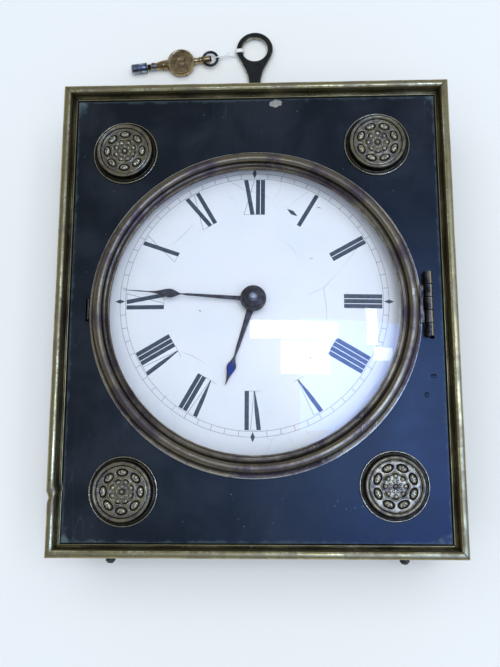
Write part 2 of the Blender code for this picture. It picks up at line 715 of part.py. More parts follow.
# False plate behind the dial: a strap with raised ends under the front board, a disc and three posts
strap_width = 0.0240
strap_thickness = 0.0012
strap_end = 0.0060
false_disc_radius = 0.0300
false_post_radius = 0.0015
false_post_ring = 0.0225
pipe_radius = 0.0022
motion_room = 0.0034
strap_top_z = dial_rim_z - dial_thickness - fit_gap
strap_low_z = strap_top_z - strap_thickness
strap_reach = inner_half_y - strap_end
pillar_plate_top_z = strap_low_z - motion_room
dial_spot = Matrix.Translation(dial_centre)
false_plate = block("false_plate", (-strap_width / 2, -strap_reach, strap_low_z),
                    (strap_width / 2, strap_reach, strap_top_z), "gilt")
join(false_plate, bar("false disc", false_disc_radius, strap_low_z, strap_top_z, matrix=dial_spot,
                      steps=round_steps))
for near, far in ((-strap_reach, strap_end - strap_reach), (strap_reach - strap_end, strap_reach)):
    join(false_plate, block("strap pad", (-strap_width / 2, near, strap_low_z),
                            (strap_width / 2, far, panel_seat_z - fit_gap)))
for index in range(3):
    angle = math.radians(30 + 120 * index)
    spot = dial_centre + Vector((math.cos(angle), math.sin(angle), 0)) * false_post_ring
    join(false_plate, bar("false post " + str(index), false_post_radius, pillar_plate_top_z + fit_gap,
                          strap_low_z + strap_thickness / 2, matrix=at(spot.x, spot.y)))
cut(false_plate, bar("false plate hole", pipe_radius + 2 * fit_gap, strap_low_z - overrun,
                     strap_top_z + overrun, matrix=dial_spot, steps=2 * small_steps))

# Plates and pillars of the movement
plate_radius = 0.0260
plate_thickness = 0.0015
pillar_height = 0.0088
pillar_radius = 0.0015
pillar_ring = 0.0236
arbor_radius = 0.0006
pivot_radius = 0.0004
centre_arbor_radius = 0.0009
pillar_plate_z = pillar_plate_top_z - plate_thickness
top_plate_top_z = pillar_plate_z - pillar_height - 2 * fit_gap
top_plate_z = top_plate_top_z - plate_thickness
train_floor = top_plate_top_z + fit_gap
train_roof = pillar_plate_z - fit_gap

# Train: tooth counts, modules and the directions in which each wheel stands from the one before
great_teeth, centre_leaves, great_module = 48, 12, 0.00042
centre_teeth, third_leaves, centre_module = 54, 6, 0.00028
third_teeth, contrate_leaves, third_module = 48, 6, 0.00028
contrate_teeth, crown_leaves, contrate_module = 48, 6, 0.00025
minute_wheel_teeth, cannon_leaves = 36, 12
hour_wheel_teeth, minute_leaves = 40, 10
motion_distance = 0.0100
crown_teeth = 13
great_direction = math.radians(-60)
third_direction = math.radians(60)
contrate_direction = math.radians(150)
verge_direction = math.radians(-170)
barrel_direction = math.radians(-150)
minute_wheel_direction = math.radians(20)
barrel_distance = 0.0163
verge_distance = 0.0130
cannon_module = motion_distance * 2 / (cannon_leaves + minute_wheel_teeth)
hour_module = motion_distance * 2 / (minute_leaves + hour_wheel_teeth)


def step_from(start, direction, distance):
    return start + Vector((math.cos(direction), math.sin(direction), 0)) * distance


def mesh_distance(module, teeth, leaves):
    return module * (teeth + leaves) / 2


great_spot = step_from(dial_centre, great_direction, mesh_distance(great_module, great_teeth, centre_leaves))
third_spot = step_from(dial_centre, third_direction, mesh_distance(centre_module, centre_teeth, third_leaves))
contrate_reach = mesh_distance(third_module, third_teeth, contrate_leaves)
contrate_spot = step_from(third_spot, contrate_direction, contrate_reach)
verge_spot = step_from(contrate_spot, verge_direction, verge_distance)
barrel_spot = step_from(dial_centre, barrel_direction, barrel_distance)
minute_wheel_spot = step_from(dial_centre, minute_wheel_direction, motion_distance)

# Teeth as shares of the module and of the pitch
wheel_addendum_share = 0.85
wheel_dedendum_share = 1.10
leaf_addendum_share = 0.35
leaf_dedendum_share = 1.30
leaf_root_share = 0.42
leaf_tip_share = 0.18


# Phase of the next wheel so that its gap meets a tooth on the line of centres
def meshed_phase(phase, teeth, direction, next_teeth):
    part = (phase - direction) / (2 * math.pi / teeth)
    return direction + math.pi + (0.5 - part) * 2 * math.pi / next_teeth


# Pointed wheel teeth, two points each, or square pinion leaves, four points each
def tooth_outline(teeth, module, phase, leaves=False):
    pitch = 2 * math.pi / teeth
    radius = module * teeth / 2
    points = []
    for index in range(teeth):
        angle = phase + index * pitch
        if leaves:
            root = radius - leaf_dedendum_share * module
            tip = radius + leaf_addendum_share * module
            corners = ((-leaf_root_share / 2, root), (-leaf_tip_share / 2, tip), (leaf_tip_share / 2, tip),
                       (leaf_root_share / 2, root))
        else:
            root = radius - wheel_dedendum_share * module
            tip = radius + wheel_addendum_share * module
            corners = ((-0.5, root), (0, tip))
        for share, distance in corners:
            turn = angle + share * pitch
            points.append((distance * math.cos(turn), distance * math.sin(turn)))
    return points


# Openings between the arms of a wheel
def arm_openings(inner, outer, arms, arm_width, phase):
    openings = []
    for index in range(arms):
        start = phase + 2 * math.pi * index / arms
        end = start + 2 * math.pi / arms
        far = arm_width / 2 / outer
        near = arm_width / 2 / inner
        openings.append(arc(outer, start + far, end - far, 6) + arc(inner, end - near, start + near, 4))
    return openings


wheel_thickness = 0.0008
pivot_depth_share = 0.8
arm_width = 0.0009
rim_share = 0.80
hub_share = 0.24


# A crossed-out wheel on its arbor, with a pinion where it has one
def wheel(name, spot, module, teeth, phase, low, look, arbor, pinion=None, arms=4):
    radius = module * teeth / 2
    piece = sheet(name, [tooth_outline(teeth, module, phase)]
                  + arm_openings(radius * hub_share, radius * rim_share, arms, arm_width, phase),
                  wheel_thickness, look, at(spot.x, spot.y, low + wheel_thickness / 2))
    if pinion:
        leaves, leaf_module, leaf_phase, leaf_low, leaf_high = pinion
        join(piece, sheet(name + " pinion", [tooth_outline(leaves, leaf_module, leaf_phase, True)],
                          leaf_high - leaf_low, matrix=at(spot.x, spot.y, (leaf_low + leaf_high) / 2)))
    join(piece, turned(name + " arbor", arbor, matrix=at(spot.x, spot.y), steps=small_steps))
    return piece


# An arbor with thinner pivots that run in both plates
def plate_arbor(radius=arbor_radius):
    low = top_plate_top_z - plate_thickness * pivot_depth_share
    high = pillar_plate_z + plate_thickness * pivot_depth_share
    return [(0, high), (pivot_radius, high), (pivot_radius, train_roof), (radius, train_roof),
            (radius, train_floor), (pivot_radius, train_floor), (pivot_radius, low), (0, low)]


# Levels of the train between the plates
great_drop = 0.0019
centre_rise = 0.0005
third_rise = 0.0049
great_low = train_roof - great_drop
centre_low = train_floor + centre_rise
third_low = train_floor + third_rise
pinion_over = 0.0003
centre_phase = 0.0
cannon_phase = 0.0
great_phase = meshed_phase(centre_phase, centre_leaves, great_direction, great_teeth)
third_leaf_phase = meshed_phase(centre_phase, centre_teeth, third_direction, third_leaves)
third_phase = 0.0
contrate_leaf_phase = meshed_phase(third_phase, third_teeth, contrate_direction, contrate_leaves)
contrate_phase = 0.0

# Centre wheel, whose long arbor carries the minute hand
hand_tip_rise = 0.0016
hand_tip_z = case_depth + hand_tip_rise
centre_foot = top_plate_top_z - plate_thickness * pivot_depth_share
centre_arbor = [(0, hand_tip_z), (centre_arbor_radius / 2, hand_tip_z),
                (centre_arbor_radius, hand_tip_z - fit_gap), (centre_arbor_radius, train_floor),
                (pivot_radius, train_floor), (pivot_radius, centre_foot), (0, centre_foot)]
wheel("centre_wheel", dial_centre, centre_module, centre_teeth, centre_phase, centre_low, "gilt", centre_arbor,
      (centre_leaves, great_module, centre_phase, great_low - pinion_over, train_roof - pinion_over))
wheel("third_wheel", third_spot, third_module, third_teeth, third_phase, third_low, "gilt", plate_arbor(),
      (third_leaves, centre_module, third_leaf_phase, centre_low - pinion_over,
       centre_low + wheel_thickness + pinion_over))

# Contrate wheel: teeth stand on its rim and drive the crown wheel, whose arbor lies flat
contrate_radius = contrate_module * contrate_teeth / 2
crown_pinion_radius = contrate_module * crown_leaves / 2
contrate_rim = 0.0010
crown_axis_rise = 0.0044
crown_axis_z = train_floor + crown_axis_rise
contrate_tip_z = crown_axis_z - crown_pinion_radius + wheel_addendum_share * contrate_module
contrate_root_z = crown_axis_z - crown_pinion_radius - wheel_dedendum_share * contrate_module
contrate_low = contrate_root_z - wheel_thickness


# A ring whose upper edge rises and falls in pointed teeth
def toothed_ring(name, inner, outer, low, root, tip, teeth, phase, lean, look=None, matrix=None):
    pitch = 2 * math.pi / teeth
    shape = bmesh.new()
    columns = []
    for index in range(teeth):
        for share, height in ((-0.5, root), (lean, tip)):
            angle = phase + (index + share) * pitch
            x, y = math.cos(angle), math.sin(angle)
            corners = ((outer, low), (outer, height), (inner, height), (inner, low))
            columns.append([shape.verts.new((reach * x, reach * y, rise)) for reach, rise in corners])
    for column, following in zip(columns, columns[1:] + columns[:1]):
        for corner in range(4):
            shape.faces.new((column[corner], following[corner], following[corner - 3], column[corner - 3]))
    bmesh.ops.recalc_face_normals(shape, faces=shape.faces)
    return place(name, shape, look, matrix)


contrate_hub = 0.0014
contrate_at = at(contrate_spot.x, contrate_spot.y)
contrate = toothed_ring("contrate_wheel", contrate_radius - contrate_rim / 2,
                        contrate_radius + contrate_rim / 2, contrate_low, contrate_root_z, contrate_tip_z,
                        contrate_teeth, contrate_phase, 0, "gilt", contrate_at)
for index in range(3):
    join(contrate, block("contrate arm " + str(index), (0, -arm_width / 2, contrate_low + fit_gap / 3),
                         (contrate_radius, arm_width / 2, contrate_root_z - fit_gap / 3),
                         matrix=at(contrate_spot.x, contrate_spot.y, 0, 2 * math.pi * index / 3)))
join(contrate,
     bar("contrate hub", contrate_hub, contrate_low, contrate_root_z, matrix=contrate_at),
     turned("contrate arbor", plate_arbor(), matrix=contrate_at, steps=small_steps),
     sheet("contrate pinion", [tooth_outline(contrate_leaves, third_module, contrate_leaf_phase, True)],
           wheel_thickness + 2 * pinion_over, matrix=contrate_at @ at(z=third_low + wheel_thickness / 2)))

# Crown wheel: its local Z runs from the verge to the contrate wheel and its local X points down
crown_radius = 0.0033
crown_rim = 0.0008
crown_web = 0.0006
crown_tooth = 0.0010
crown_back = 0.0010
crown_lean_share = 0.3
crown_arbor_share = 0.7
crown_pivot_length = 0.0024
verge_clear = 0.0020
crown_root = verge_clear + crown_tooth
crown_low = crown_root + crown_back
crown_line = contrate_spot - verge_spot
crown_axis = along((verge_spot.x, verge_spot.y, crown_axis_z), crown_line, (0, 0, -1))
contrate_part = (contrate_phase - verge_direction) / (2 * math.pi / contrate_teeth)
crown_leaf_phase = (0.5 - contrate_part) * 2 * math.pi / crown_leaves
crown_pinion_at = verge_distance - contrate_radius
crown_end = crown_pinion_at + contrate_rim + crown_pivot_length
crown_arbor_radius = arbor_radius * crown_arbor_share
flip = Matrix.Rotation(math.pi, 4, 'X')
crown = toothed_ring("crown_wheel", crown_radius - crown_rim, crown_radius, -crown_low, -crown_root,
                     -verge_clear, crown_teeth, 0, crown_lean_share, "gilt", crown_axis @ flip)
join(crown,
     bar("crown web", crown_radius - crown_rim / 2, crown_low - crown_web, crown_low - fit_gap / 3,
         matrix=crown_axis, steps=24),
     turned("crown arbor", [(0, crown_end), (pivot_radius, crown_end),
                            (pivot_radius, crown_pinion_at + contrate_rim + 2 * fit_gap),
                            (crown_arbor_radius, crown_pinion_at + contrate_rim),
                            (crown_arbor_radius, crown_root), (0, crown_root)], matrix=crown_axis,
            steps=small_steps),
     sheet("crown pinion", [tooth_outline(crown_leaves, contrate_module, crown_leaf_phase, True)],
           2 * contrate_rim, matrix=crown_axis @ Matrix.Translation((0, 0, crown_pinion_at))))

# Pillar plate with the post of the minute wheel and the counter-potence, and the top plate
pillar_plate = bar("pillar_plate", plate_radius, pillar_plate_z, pillar_plate_top_z, "gilt", dial_spot,
                   steps=round_steps)
minute_post_radius = 0.0008
counter_size = 0.0018
counter_gap = 0.0008
counter_at = crown_pinion_at + contrate_rim + counter_gap
counter = step_from(verge_spot, verge_direction + math.pi, counter_at + counter_size / 2)
join(pillar_plate,
     bar("minute post", minute_post_radius, pillar_plate_z + fit_gap, strap_low_z - fit_gap,
         matrix=at(minute_wheel_spot.x, minute_wheel_spot.y)),
     block("counter potence", (-counter_size / 2, -counter_size / 2, crown_axis_z - counter_size / 2),
           (counter_size / 2, counter_size / 2, pillar_plate_z + fit_gap),
           matrix=at(counter.x, counter.y, 0, verge_direction)))
top_plate = bar("top_plate", plate_radius, top_plate_z, top_plate_top_z, "gilt", dial_spot, steps=round_steps)
pivot_hole = pivot_radius + fit_gap / 2
cut(pillar_plate, bar("crown pivot room", pivot_hole, 0, crown_end + overrun, matrix=crown_axis))


def plate_hole(plate, name, spot, radius):
    low = top_plate_z - overrun if plate is top_plate else pillar_plate_z - overrun
    high = top_plate_top_z + overrun if plate is top_plate else pillar_plate_top_z + overrun
    cut(plate, bar(name, radius, low, high, matrix=at(spot.x, spot.y)))


for index, spot in enumerate((third_spot, contrate_spot)):
    plate_hole(pillar_plate, "pillar plate pivot " + str(index), spot, pivot_hole)
    plate_hole(top_plate, "top plate pivot " + str(index), spot, pivot_hole)
plate_hole(top_plate, "centre pivot", dial_centre, pivot_hole)
plate_hole(pillar_plate, "centre hole", dial_centre, centre_arbor_radius + fit_gap)

pillar_waist_share = 0.6
pillar_collar_share = 1 / 6
pillar_neck_share = 1 / 3
pillar_first_angle = math.radians(-105)


def pillar_profile():
    waist = pillar_radius * pillar_waist_share
    collar = pillar_height * pillar_collar_share
    neck = pillar_height * pillar_neck_share
    return [(0, train_roof), (pillar_radius, train_roof), (pillar_radius, train_roof - collar),
            (waist, train_roof - neck), (waist, train_floor + neck), (pillar_radius, train_floor + collar),
            (pillar_radius, train_floor), (0, train_floor)]


for index in range(4):
    spot = step_from(dial_centre, pillar_first_angle + index * math.pi / 2, pillar_ring)
    turned("pillar_" + str(index + 1), pillar_profile(), "gilt", at(spot.x, spot.y), steps=small_steps)

# Fusee with the great wheel and the winding square, the barrel and the chain between them
fusee_top_radius = 0.0036
fusee_foot_radius = 0.0083
fusee_turns = 5
fusee_rise = 0.0006
fusee_curve_share = 1.5
fusee_steps = 16
fusee_low = train_floor + fusee_rise
fusee_high = great_low - fit_gap / 3
groove_depth = 0.0004
winding_square = 0.0013
winding_reach = 0.0046
square_collar = 0.0007
fusee_arbor_radius = 0.0010
winding_end_z = top_plate_z - winding_reach


def fusee_radius(height):
    share = (height - fusee_low) / (fusee_high - fusee_low)
    return fusee_top_radius + (fusee_foot_radius - fusee_top_radius) * share ** fusee_curve_share


def fusee_profile():
    profile = [(0, great_low + wheel_thickness / 2), (fusee_foot_radius, great_low + wheel_thickness / 2)]
    pitch = (fusee_high - fusee_low) / (fusee_turns + 0.5)
    for index in range(fusee_turns, -1, -1):
        ridge = fusee_low + (index + 0.5) * pitch
        profile.append((fusee_radius(ridge), ridge))
        if index > 0:
            profile.append((fusee_radius(ridge - pitch / 2) - groove_depth, ridge - pitch / 2))
    profile += [(fusee_top_radius, fusee_low), (0, fusee_low)]
    return profile


pivot_high_z = pillar_plate_z + plate_thickness * pivot_depth_share
collar_z = top_plate_z - square_collar
great_at = at(great_spot.x, great_spot.y)
fusee = sheet("fusee", [tooth_outline(great_teeth, great_module, great_phase)], wheel_thickness, "gilt",
              great_at @ at(z=great_low + wheel_thickness / 2))
join(fusee,
     turned("fusee cone", fusee_profile(), matrix=great_at, steps=fusee_steps),
     turned("fusee arbor", [(0, pivot_high_z), (arbor_radius, pivot_high_z), (arbor_radius, great_low),
                            (fusee_arbor_radius, great_low), (fusee_arbor_radius, collar_z), (0, collar_z)],
            matrix=great_at, steps=small_steps),
     block("winding square", (-winding_square / 2, -winding_square / 2, winding_end_z),
           (winding_square / 2, winding_square / 2, top_plate_z - fit_gap), matrix=great_at))
plate_hole(pillar_plate, "fusee pivot", great_spot, arbor_radius + fit_gap / 2)
plate_hole(top_plate, "fusee hole", great_spot, fusee_arbor_radius + fit_gap)

barrel_radius = 0.0074
barrel_low = train_floor + fit_gap
barrel_high = train_roof - fit_gap
barrel_groove = 0.0003
barrel_bore = 0.0014
barrel_steps = 20
barrel_waist = barrel_radius - barrel_groove
barrel_at = at(barrel_spot.x, barrel_spot.y)
barrel_core = barrel_bore - fit_gap
barrel_profile = [(barrel_bore, barrel_high), (barrel_radius, barrel_high),
                  (barrel_radius, barrel_high - 2 * barrel_groove),
                  (barrel_waist, barrel_high - 3 * barrel_groove),
                  (barrel_waist, barrel_low + 3 * barrel_groove),
                  (barrel_radius, barrel_low + 2 * barrel_groove),
                  (barrel_radius, barrel_low), (barrel_bore, barrel_low)]
turned("barrel", barrel_profile, "gilt", barrel_at, steps=barrel_steps)
turned("barrel_arbor", [(0, pivot_high_z), (arbor_radius, pivot_high_z), (arbor_radius, train_roof),
                        (barrel_core, train_roof), (barrel_core, train_floor), (arbor_radius, train_floor),
                        (arbor_radius, collar_z), (0, collar_z)], "steel", barrel_at, steps=small_steps)
plate_hole(pillar_plate, "barrel pivot", barrel_spot, arbor_radius + fit_gap / 2)
plate_hole(top_plate, "barrel hole", barrel_spot, arbor_radius + fit_gap / 2)

chain_radius = 0.00025
chain_clear = chain_radius + fit_gap
chain_turns = 3
chain_pitch = 0.0011
chain_turn_points = 11
fusee_wrap_share = 0.8


# Chain: turns on the barrel, the straight run on the outer side, and a turn round the foot of the fusee
def chain_points():
    line = great_spot - barrel_spot
    heading = math.atan2(line.y, line.x)
    leave = heading - math.pi / 2
    level = great_low - chain_pitch
    points = []
    count = chain_turns * chain_turn_points
    reach = barrel_radius + chain_clear
    for index in range(count + 1):
        angle = leave - 2 * math.pi * chain_turns * (1 - index / count)
        height = level - chain_pitch * chain_turns * (1 - index / count)
        points.append(barrel_spot + Vector((reach * math.cos(angle), reach * math.sin(angle), height)))
    for index in range(chain_turn_points):
        part = fusee_wrap_share * index / (chain_turn_points - 1)
        angle = leave + 2 * math.pi * part
        height = level - chain_pitch * part
        reach = fusee_radius(height + chain_pitch / 2) + chain_clear
        points.append(great_spot + Vector((reach * math.cos(angle), reach * math.sin(angle), height)))
    return points


wire("fusee_chain", chain_points(), chain_radius, "steel", resolution=1)

# Verge balance behind the top plate, its spring and its cock
balance_radius = 0.0080
balance_rim = 0.0011
balance_thickness = 0.0009
balance_room = 0.0052
staff_radius = 0.0007
pallet_reach = 0.0015
pallet_width = 0.0010
pallet_thickness = 0.0004
pallet_lean = 0.8
staff_hole = 0.0018
balance_drop = 0.0030
balance_hub_radius = 0.0014
balance_low = top_plate_z - balance_drop
staff_high = train_roof - fit_gap
cock_thickness = 0.0009
cock_z = top_plate_z - balance_room
verge_at = at(verge_spot.x, verge_spot.y)
crown_side = verge_direction + math.pi
balance = sheet("balance_wheel", [circle(balance_radius, 32)]
                + arm_openings(balance_hub_radius, balance_radius - balance_rim, 3, arm_width, math.pi / 2),
                balance_thickness, "gilt", verge_at @ at(z=balance_low + balance_thickness / 2))
join(balance, turned("verge staff", [(0, staff_high), (pivot_radius, staff_high),
                                     (pivot_radius, staff_high - 3 * fit_gap),
                                     (staff_radius, staff_high - 4 * fit_gap),
                                     (staff_radius, balance_low - 2 * fit_gap),
                                     (pivot_radius, balance_low - 3 * fit_gap),
                                     (pivot_radius, cock_z + fit_gap), (0, cock_z + fit_gap)],
                     matrix=verge_at, steps=small_steps))
for level in (-1, 1):
    height = crown_axis_z + level * (crown_radius - crown_rim / 2)
    join(balance, block("pallet " + str(level), (0, -pallet_thickness / 2, height - pallet_width / 2),
                        (pallet_reach, pallet_thickness / 2, height + pallet_width / 2),
                        matrix=verge_at @ at(turn=crown_side - level * pallet_lean)))
plate_hole(top_plate, "staff hole", verge_spot, staff_hole)

spring_turns = 3.5
spring_inner = 0.0014
spring_outer = 0.0052
spring_radius = 0.00015
spring_drop = 0.0012
spring_z = top_plate_z - spring_drop


def spring_points():
    count = int(spring_turns * 12)
    points = []
    for index in range(count + 1):
        share = index / count
        reach = spring_inner + (spring_outer - spring_inner) * share
        angle = 2 * math.pi * spring_turns * share
        points.append(verge_spot + Vector((reach * math.cos(angle), reach * math.sin(angle), spring_z)))
    return points


wire("hairspring", spring_points(), spring_radius, "blued steel", resolution=0)

# Pierced balance cock on a foot on the top plate
cock_radius = 0.0084
cock_direction = math.radians(-62)
cock_foot_distance = 0.0112
cock_foot_radius = 0.0024
cock_hole_radius = 0.0017
cock_hole_ring = 0.0052
cock_holes = 6
neck_share = 0.7


def cock_outlines():
    outlines = [circle(cock_radius, 28), circle(pivot_hole, small_steps)]
    for index in range(cock_holes):
        angle = cock_direction + (index + 0.5) * 2 * math.pi / cock_holes
        spot = (cock_hole_ring * math.cos(angle), cock_hole_ring * math.sin(angle))
        outlines.append(circle(cock_hole_radius, small_steps, spot))
    return outlines


cock_at = verge_at @ at(turn=cock_direction)
neck_half = cock_foot_radius * neck_share
cock = sheet("balance_cock", cock_outlines(), cock_thickness, "gilt",
             verge_at @ at(z=cock_z + cock_thickness / 2))
join(cock,
     block("cock neck", (cock_radius - overrun, -neck_half, cock_z + fit_gap / 3),
           (cock_foot_distance, neck_half, cock_z + cock_thickness - fit_gap / 3), matrix=cock_at),
     bar("cock foot", cock_foot_radius, cock_z, top_plate_z - fit_gap, matrix=cock_at @ at(cock_foot_distance),
         steps=2 * small_steps))

# Potence: holds the lower pivot of the verge and the near end of the crown arbor
potence_from = crown_low + 2 * fit_gap
potence_depth = crown_pinion_at - contrate_rim - 2 * fit_gap - potence_from
potence_half = 0.0016
potence_foot = 0.0006
potence_spot = verge_at @ at(turn=crown_side)
potence = block("potence", (potence_from, -potence_half, top_plate_top_z + fit_gap),
                (potence_from + potence_depth, potence_half, train_roof), "gilt", potence_spot)
join(potence, block("potence arm", (-potence_half, -potence_half * neck_share, train_roof - potence_foot),
                    (potence_from + potence_depth / 2, potence_half * neck_share, train_roof - fit_gap / 3),
                    matrix=potence_spot))
cut(potence,
    bar("verge pivot room", pivot_hole, train_roof - potence_foot - overrun, train_roof + overrun,
        matrix=verge_at),
    bar("crown arbor room", arbor_radius + fit_gap, crown_low, crown_pinion_at, matrix=crown_axis))

# Motion work under the dial: cannon pinion, minute wheel and hour wheel on its pipe
cannon_bore = centre_arbor_radius + fit_gap
cannon_wall = 0.0004
cannon_pipe = cannon_bore + cannon_wall
hour_bore = cannon_pipe + fit_gap
cannon_low = pillar_plate_top_z + fit_gap
cannon_thickness = 0.0011
minute_wheel_low = cannon_low + fit_gap / 2
hour_wheel_low = cannon_low + cannon_thickness + fit_gap
motion_thickness = 0.0007
minute_phase = meshed_phase(cannon_phase, cannon_leaves, minute_wheel_direction, minute_wheel_teeth)
minute_leaf_phase = 0.0
hour_phase = meshed_phase(minute_leaf_phase, minute_leaves, minute_wheel_direction + math.pi, hour_wheel_teeth)

# Hands: blade outlines as shares of length along and of width across
minute_hand_gap = 0.0047
hour_hand_short = 0.0155
hand_thickness = 0.0007
hour_hand_rise = 0.0009
hands_apart = 0.0008
minute_length = bezel_opening_radius - minute_hand_gap
hour_length = minute_length - hour_hand_short
hour_hand_z = dial_rim_z + dial_dome + hour_hand_rise
minute_hand_z = hour_hand_z + hand_thickness + hands_apart
hour_hub_radius = 0.0042
minute_hub_radius = 0.0042
hour_direction = math.radians(90 - 197.9)
minute_direction = math.radians(90 - 274.6)
hour_half_width = 0.0019
minute_half_width = 0.0017
hour_blade_shares = ((0.10, 1.20), (0.30, 0.74), (0.55, 0.42), (0.70, 0.34), (0.745, 0.80), (0.79, 1.0),
                     (0.84, 0.86), (0.90, 0.40), (0.95, 0.20))
minute_blade_shares = ((0.07, 1.10), (0.25, 0.62), (0.50, 0.38), (0.575, 0.34), (0.605, 0.80), (0.64, 1.0),
                       (0.685, 0.84), (0.73, 0.40), (0.86, 0.24))

cannon = turned("cannon_pinion", [(cannon_pipe, minute_hand_z - fit_gap), (cannon_pipe, cannon_low),
                                  (cannon_bore, cannon_low), (cannon_bore, minute_hand_z - fit_gap)],
                "steel", dial_spot, steps=small_steps)
join(cannon, sheet("cannon teeth", [tooth_outline(cannon_leaves, cannon_module, cannon_phase, True),
                                    circle((cannon_bore + cannon_pipe) / 2, small_steps)],
                   cannon_thickness, matrix=dial_spot @ at(z=cannon_low + cannon_thickness / 2)))

minute_wheel_at = at(minute_wheel_spot.x, minute_wheel_spot.y)
minute_bore = minute_post_radius + fit_gap
minute_wheel = sheet("minute_wheel", [tooth_outline(minute_wheel_teeth, cannon_module, minute_phase),
                                      circle(minute_bore, small_steps)],
                     motion_thickness, "gilt", minute_wheel_at @ at(z=minute_wheel_low + motion_thickness / 2))
minute_pinion_high = strap_low_z - 2 * fit_gap
minute_pinion_low = minute_wheel_low + motion_thickness / 2
join(minute_wheel, sheet("minute pinion", [tooth_outline(minute_leaves, hour_module, minute_leaf_phase, True),
                                           circle(minute_bore, small_steps)],
                         minute_pinion_high - minute_pinion_low,
                         matrix=minute_wheel_at @ at(z=(minute_pinion_high + minute_pinion_low) / 2)))

hour_wheel = sheet("hour_wheel", [tooth_outline(hour_wheel_teeth, hour_module, hour_phase),
                                  circle(hour_bore, small_steps)],
                   motion_thickness, "gilt", dial_spot @ at(z=hour_wheel_low + motion_thickness / 2))
pipe_low = hour_wheel_low + motion_thickness / 3
join(hour_wheel, turned("hour pipe", [(pipe_radius, hour_hand_z - fit_gap), (pipe_radius, pipe_low),
                                      (hour_bore, pipe_low), (hour_bore, hour_hand_z - fit_gap)],
                        matrix=dial_spot, steps=small_steps))


def hand(name, direction, length, half_width, hub, bore, blade, low):
    right = [(along_share * length, -across_share * half_width) for along_share, across_share in blade]
    left = [(x, -y) for x, y in right[::-1]]
    start = math.asin(blade[0][1] * half_width / hub)
    hub_arc = arc(hub, start, 2 * math.pi - start, 15)
    blade_points = right + [(length, 0)] + left
    outline = [point for point in blade_points if point[0] > hub]
    return sheet(name, [outline + hub_arc, circle(bore, small_steps)], hand_thickness, "blued steel",
                 dial_spot @ at(z=low + hand_thickness / 2, turn=direction))


hand("hour_hand", hour_direction, hour_length, hour_half_width, hour_hub_radius, cannon_pipe + fit_gap,
     hour_blade_shares, hour_hand_z)
hand("minute_hand", minute_direction, minute_length, minute_half_width, minute_hub_radius, cannon_bore,
     minute_blade_shares, minute_hand_z)
collet_radius = 0.0049
collet_bevel = 0.0010
collet_steps = 20
collet_low = minute_hand_z + hand_thickness + fit_gap
collet_high = hand_tip_z - collet_bevel
turned("hand_collet", [(cannon_bore, collet_high), (collet_radius - collet_bevel, collet_high),
                       (collet_radius, collet_high - collet_bevel), (collet_radius, collet_low),
                       (cannon_bore, collet_low)], "steel", dial_spot, steps=collet_steps)

# Watch key lying beside the clock, its pipe to the left and its ring to the right
key_aside = 0.0549
key_below = 0.0085
key_tip = Vector((loop_middle_x - key_aside, loop_middle_y - key_below, 0))
key_angle = math.radians(7.3)
key_axis_z = 0.0024
key_pipe_radius = 0.0021
key_pipe_length = 0.0068
key_square = 0.0015
key_socket_depth = 0.0050
key_barrel_radius = 0.0015
key_disc_at = 0.0221
key_disc_radius = 0.0061
key_disc_thickness = 0.0024
key_disc_dish = 0.0004
key_disc_rim = 0.0011
key_neck_end = 0.0358
key_eye_radius = 0.0010
key_eye_shift = 0.0002
key_ring_at = 0.0353
key_ring_radius = 0.0032
key_ring_wire = 0.0006
key_disc_steps = 18
key_line = Vector((math.cos(key_angle), math.sin(key_angle), 0))
key_spot = along((key_tip.x, key_tip.y, key_axis_z), key_line, (0, 0, 1))
key_pipe = turned("key_pipe", [(0, key_pipe_length), (key_pipe_radius, key_pipe_length),
                               (key_pipe_radius, fit_gap), (key_pipe_radius - fit_gap, 0), (0, 0)],
                  "steel", key_spot, steps=2 * small_steps)
cut(key_pipe, block("key socket", (-key_square / 2, -key_square / 2, -overrun),
                    (key_square / 2, key_square / 2, key_socket_depth), matrix=key_spot))

# Stem of the key: shares of its barrel radius, and of the length of its neck, its disc and its barrel
key_neck_shares = ((0, 1.0), (0.8, 1.0), (0.95, 0.90), (0.95, 0.30), (0.75, 0.20), (0.95, 0))
key_disc_shares = ((0.7, 0.91), (0.7, 0.09))
key_barrel_shares = ((1.45, 1.0), (1.2, 0.62), (0.97, 0.44), (1.06, 0.40), (1.06, 0.22), (0.8, 0.16), (0.8, 0),
                     (0, 0))


def stem_points(shares, start, end):
    return [(across * key_barrel_radius, start + up * (end - start)) for across, up in shares]


key_shoulder = key_disc_at - key_disc_radius
key_far = key_disc_at + key_disc_radius
key_stem = (stem_points(key_neck_shares, key_far, key_neck_end)
            + stem_points(key_disc_shares, key_shoulder, key_far)
            + stem_points(key_barrel_shares, key_pipe_length + fit_gap, key_shoulder))
key_body = turned("key_body", key_stem, "bright brass", key_spot, steps=12)
disc_middle = key_tip + key_line * key_disc_at
half_disc = key_disc_thickness / 2
dish_z = half_disc - key_disc_dish
inner_disc = key_disc_radius - key_disc_rim
disc_edge = [(0, dish_z), (inner_disc, dish_z), (inner_disc + fit_gap, half_disc),
             (key_disc_radius - fit_gap, half_disc), (key_disc_radius, dish_z)]
disc_profile = disc_edge + [(radius, -height) for radius, height in disc_edge[::-1]]
join(key_body, turned("key disc", disc_profile, matrix=at(disc_middle.x, disc_middle.y, key_axis_z),
                      steps=key_disc_steps))
key_eye_at = key_tip + key_line * (key_ring_at - key_ring_radius + key_eye_shift)
key_eye_spot = along((key_eye_at.x, key_eye_at.y, key_axis_z), (-key_line.y, key_line.x, 0), (0, 0, 1))
key_eye_reach = 2 * key_barrel_radius
cut(key_body, turned("key eye", [(0, -key_eye_reach), (key_eye_radius, -key_eye_reach),
                                 (key_eye_radius, key_eye_reach), (0, key_eye_reach)], matrix=key_eye_spot, steps=12))
ring_middle = key_tip + key_line * key_ring_at
ring_section = circle(key_ring_wire, 6, (key_ring_radius, 0))
key_ring_steps = 16
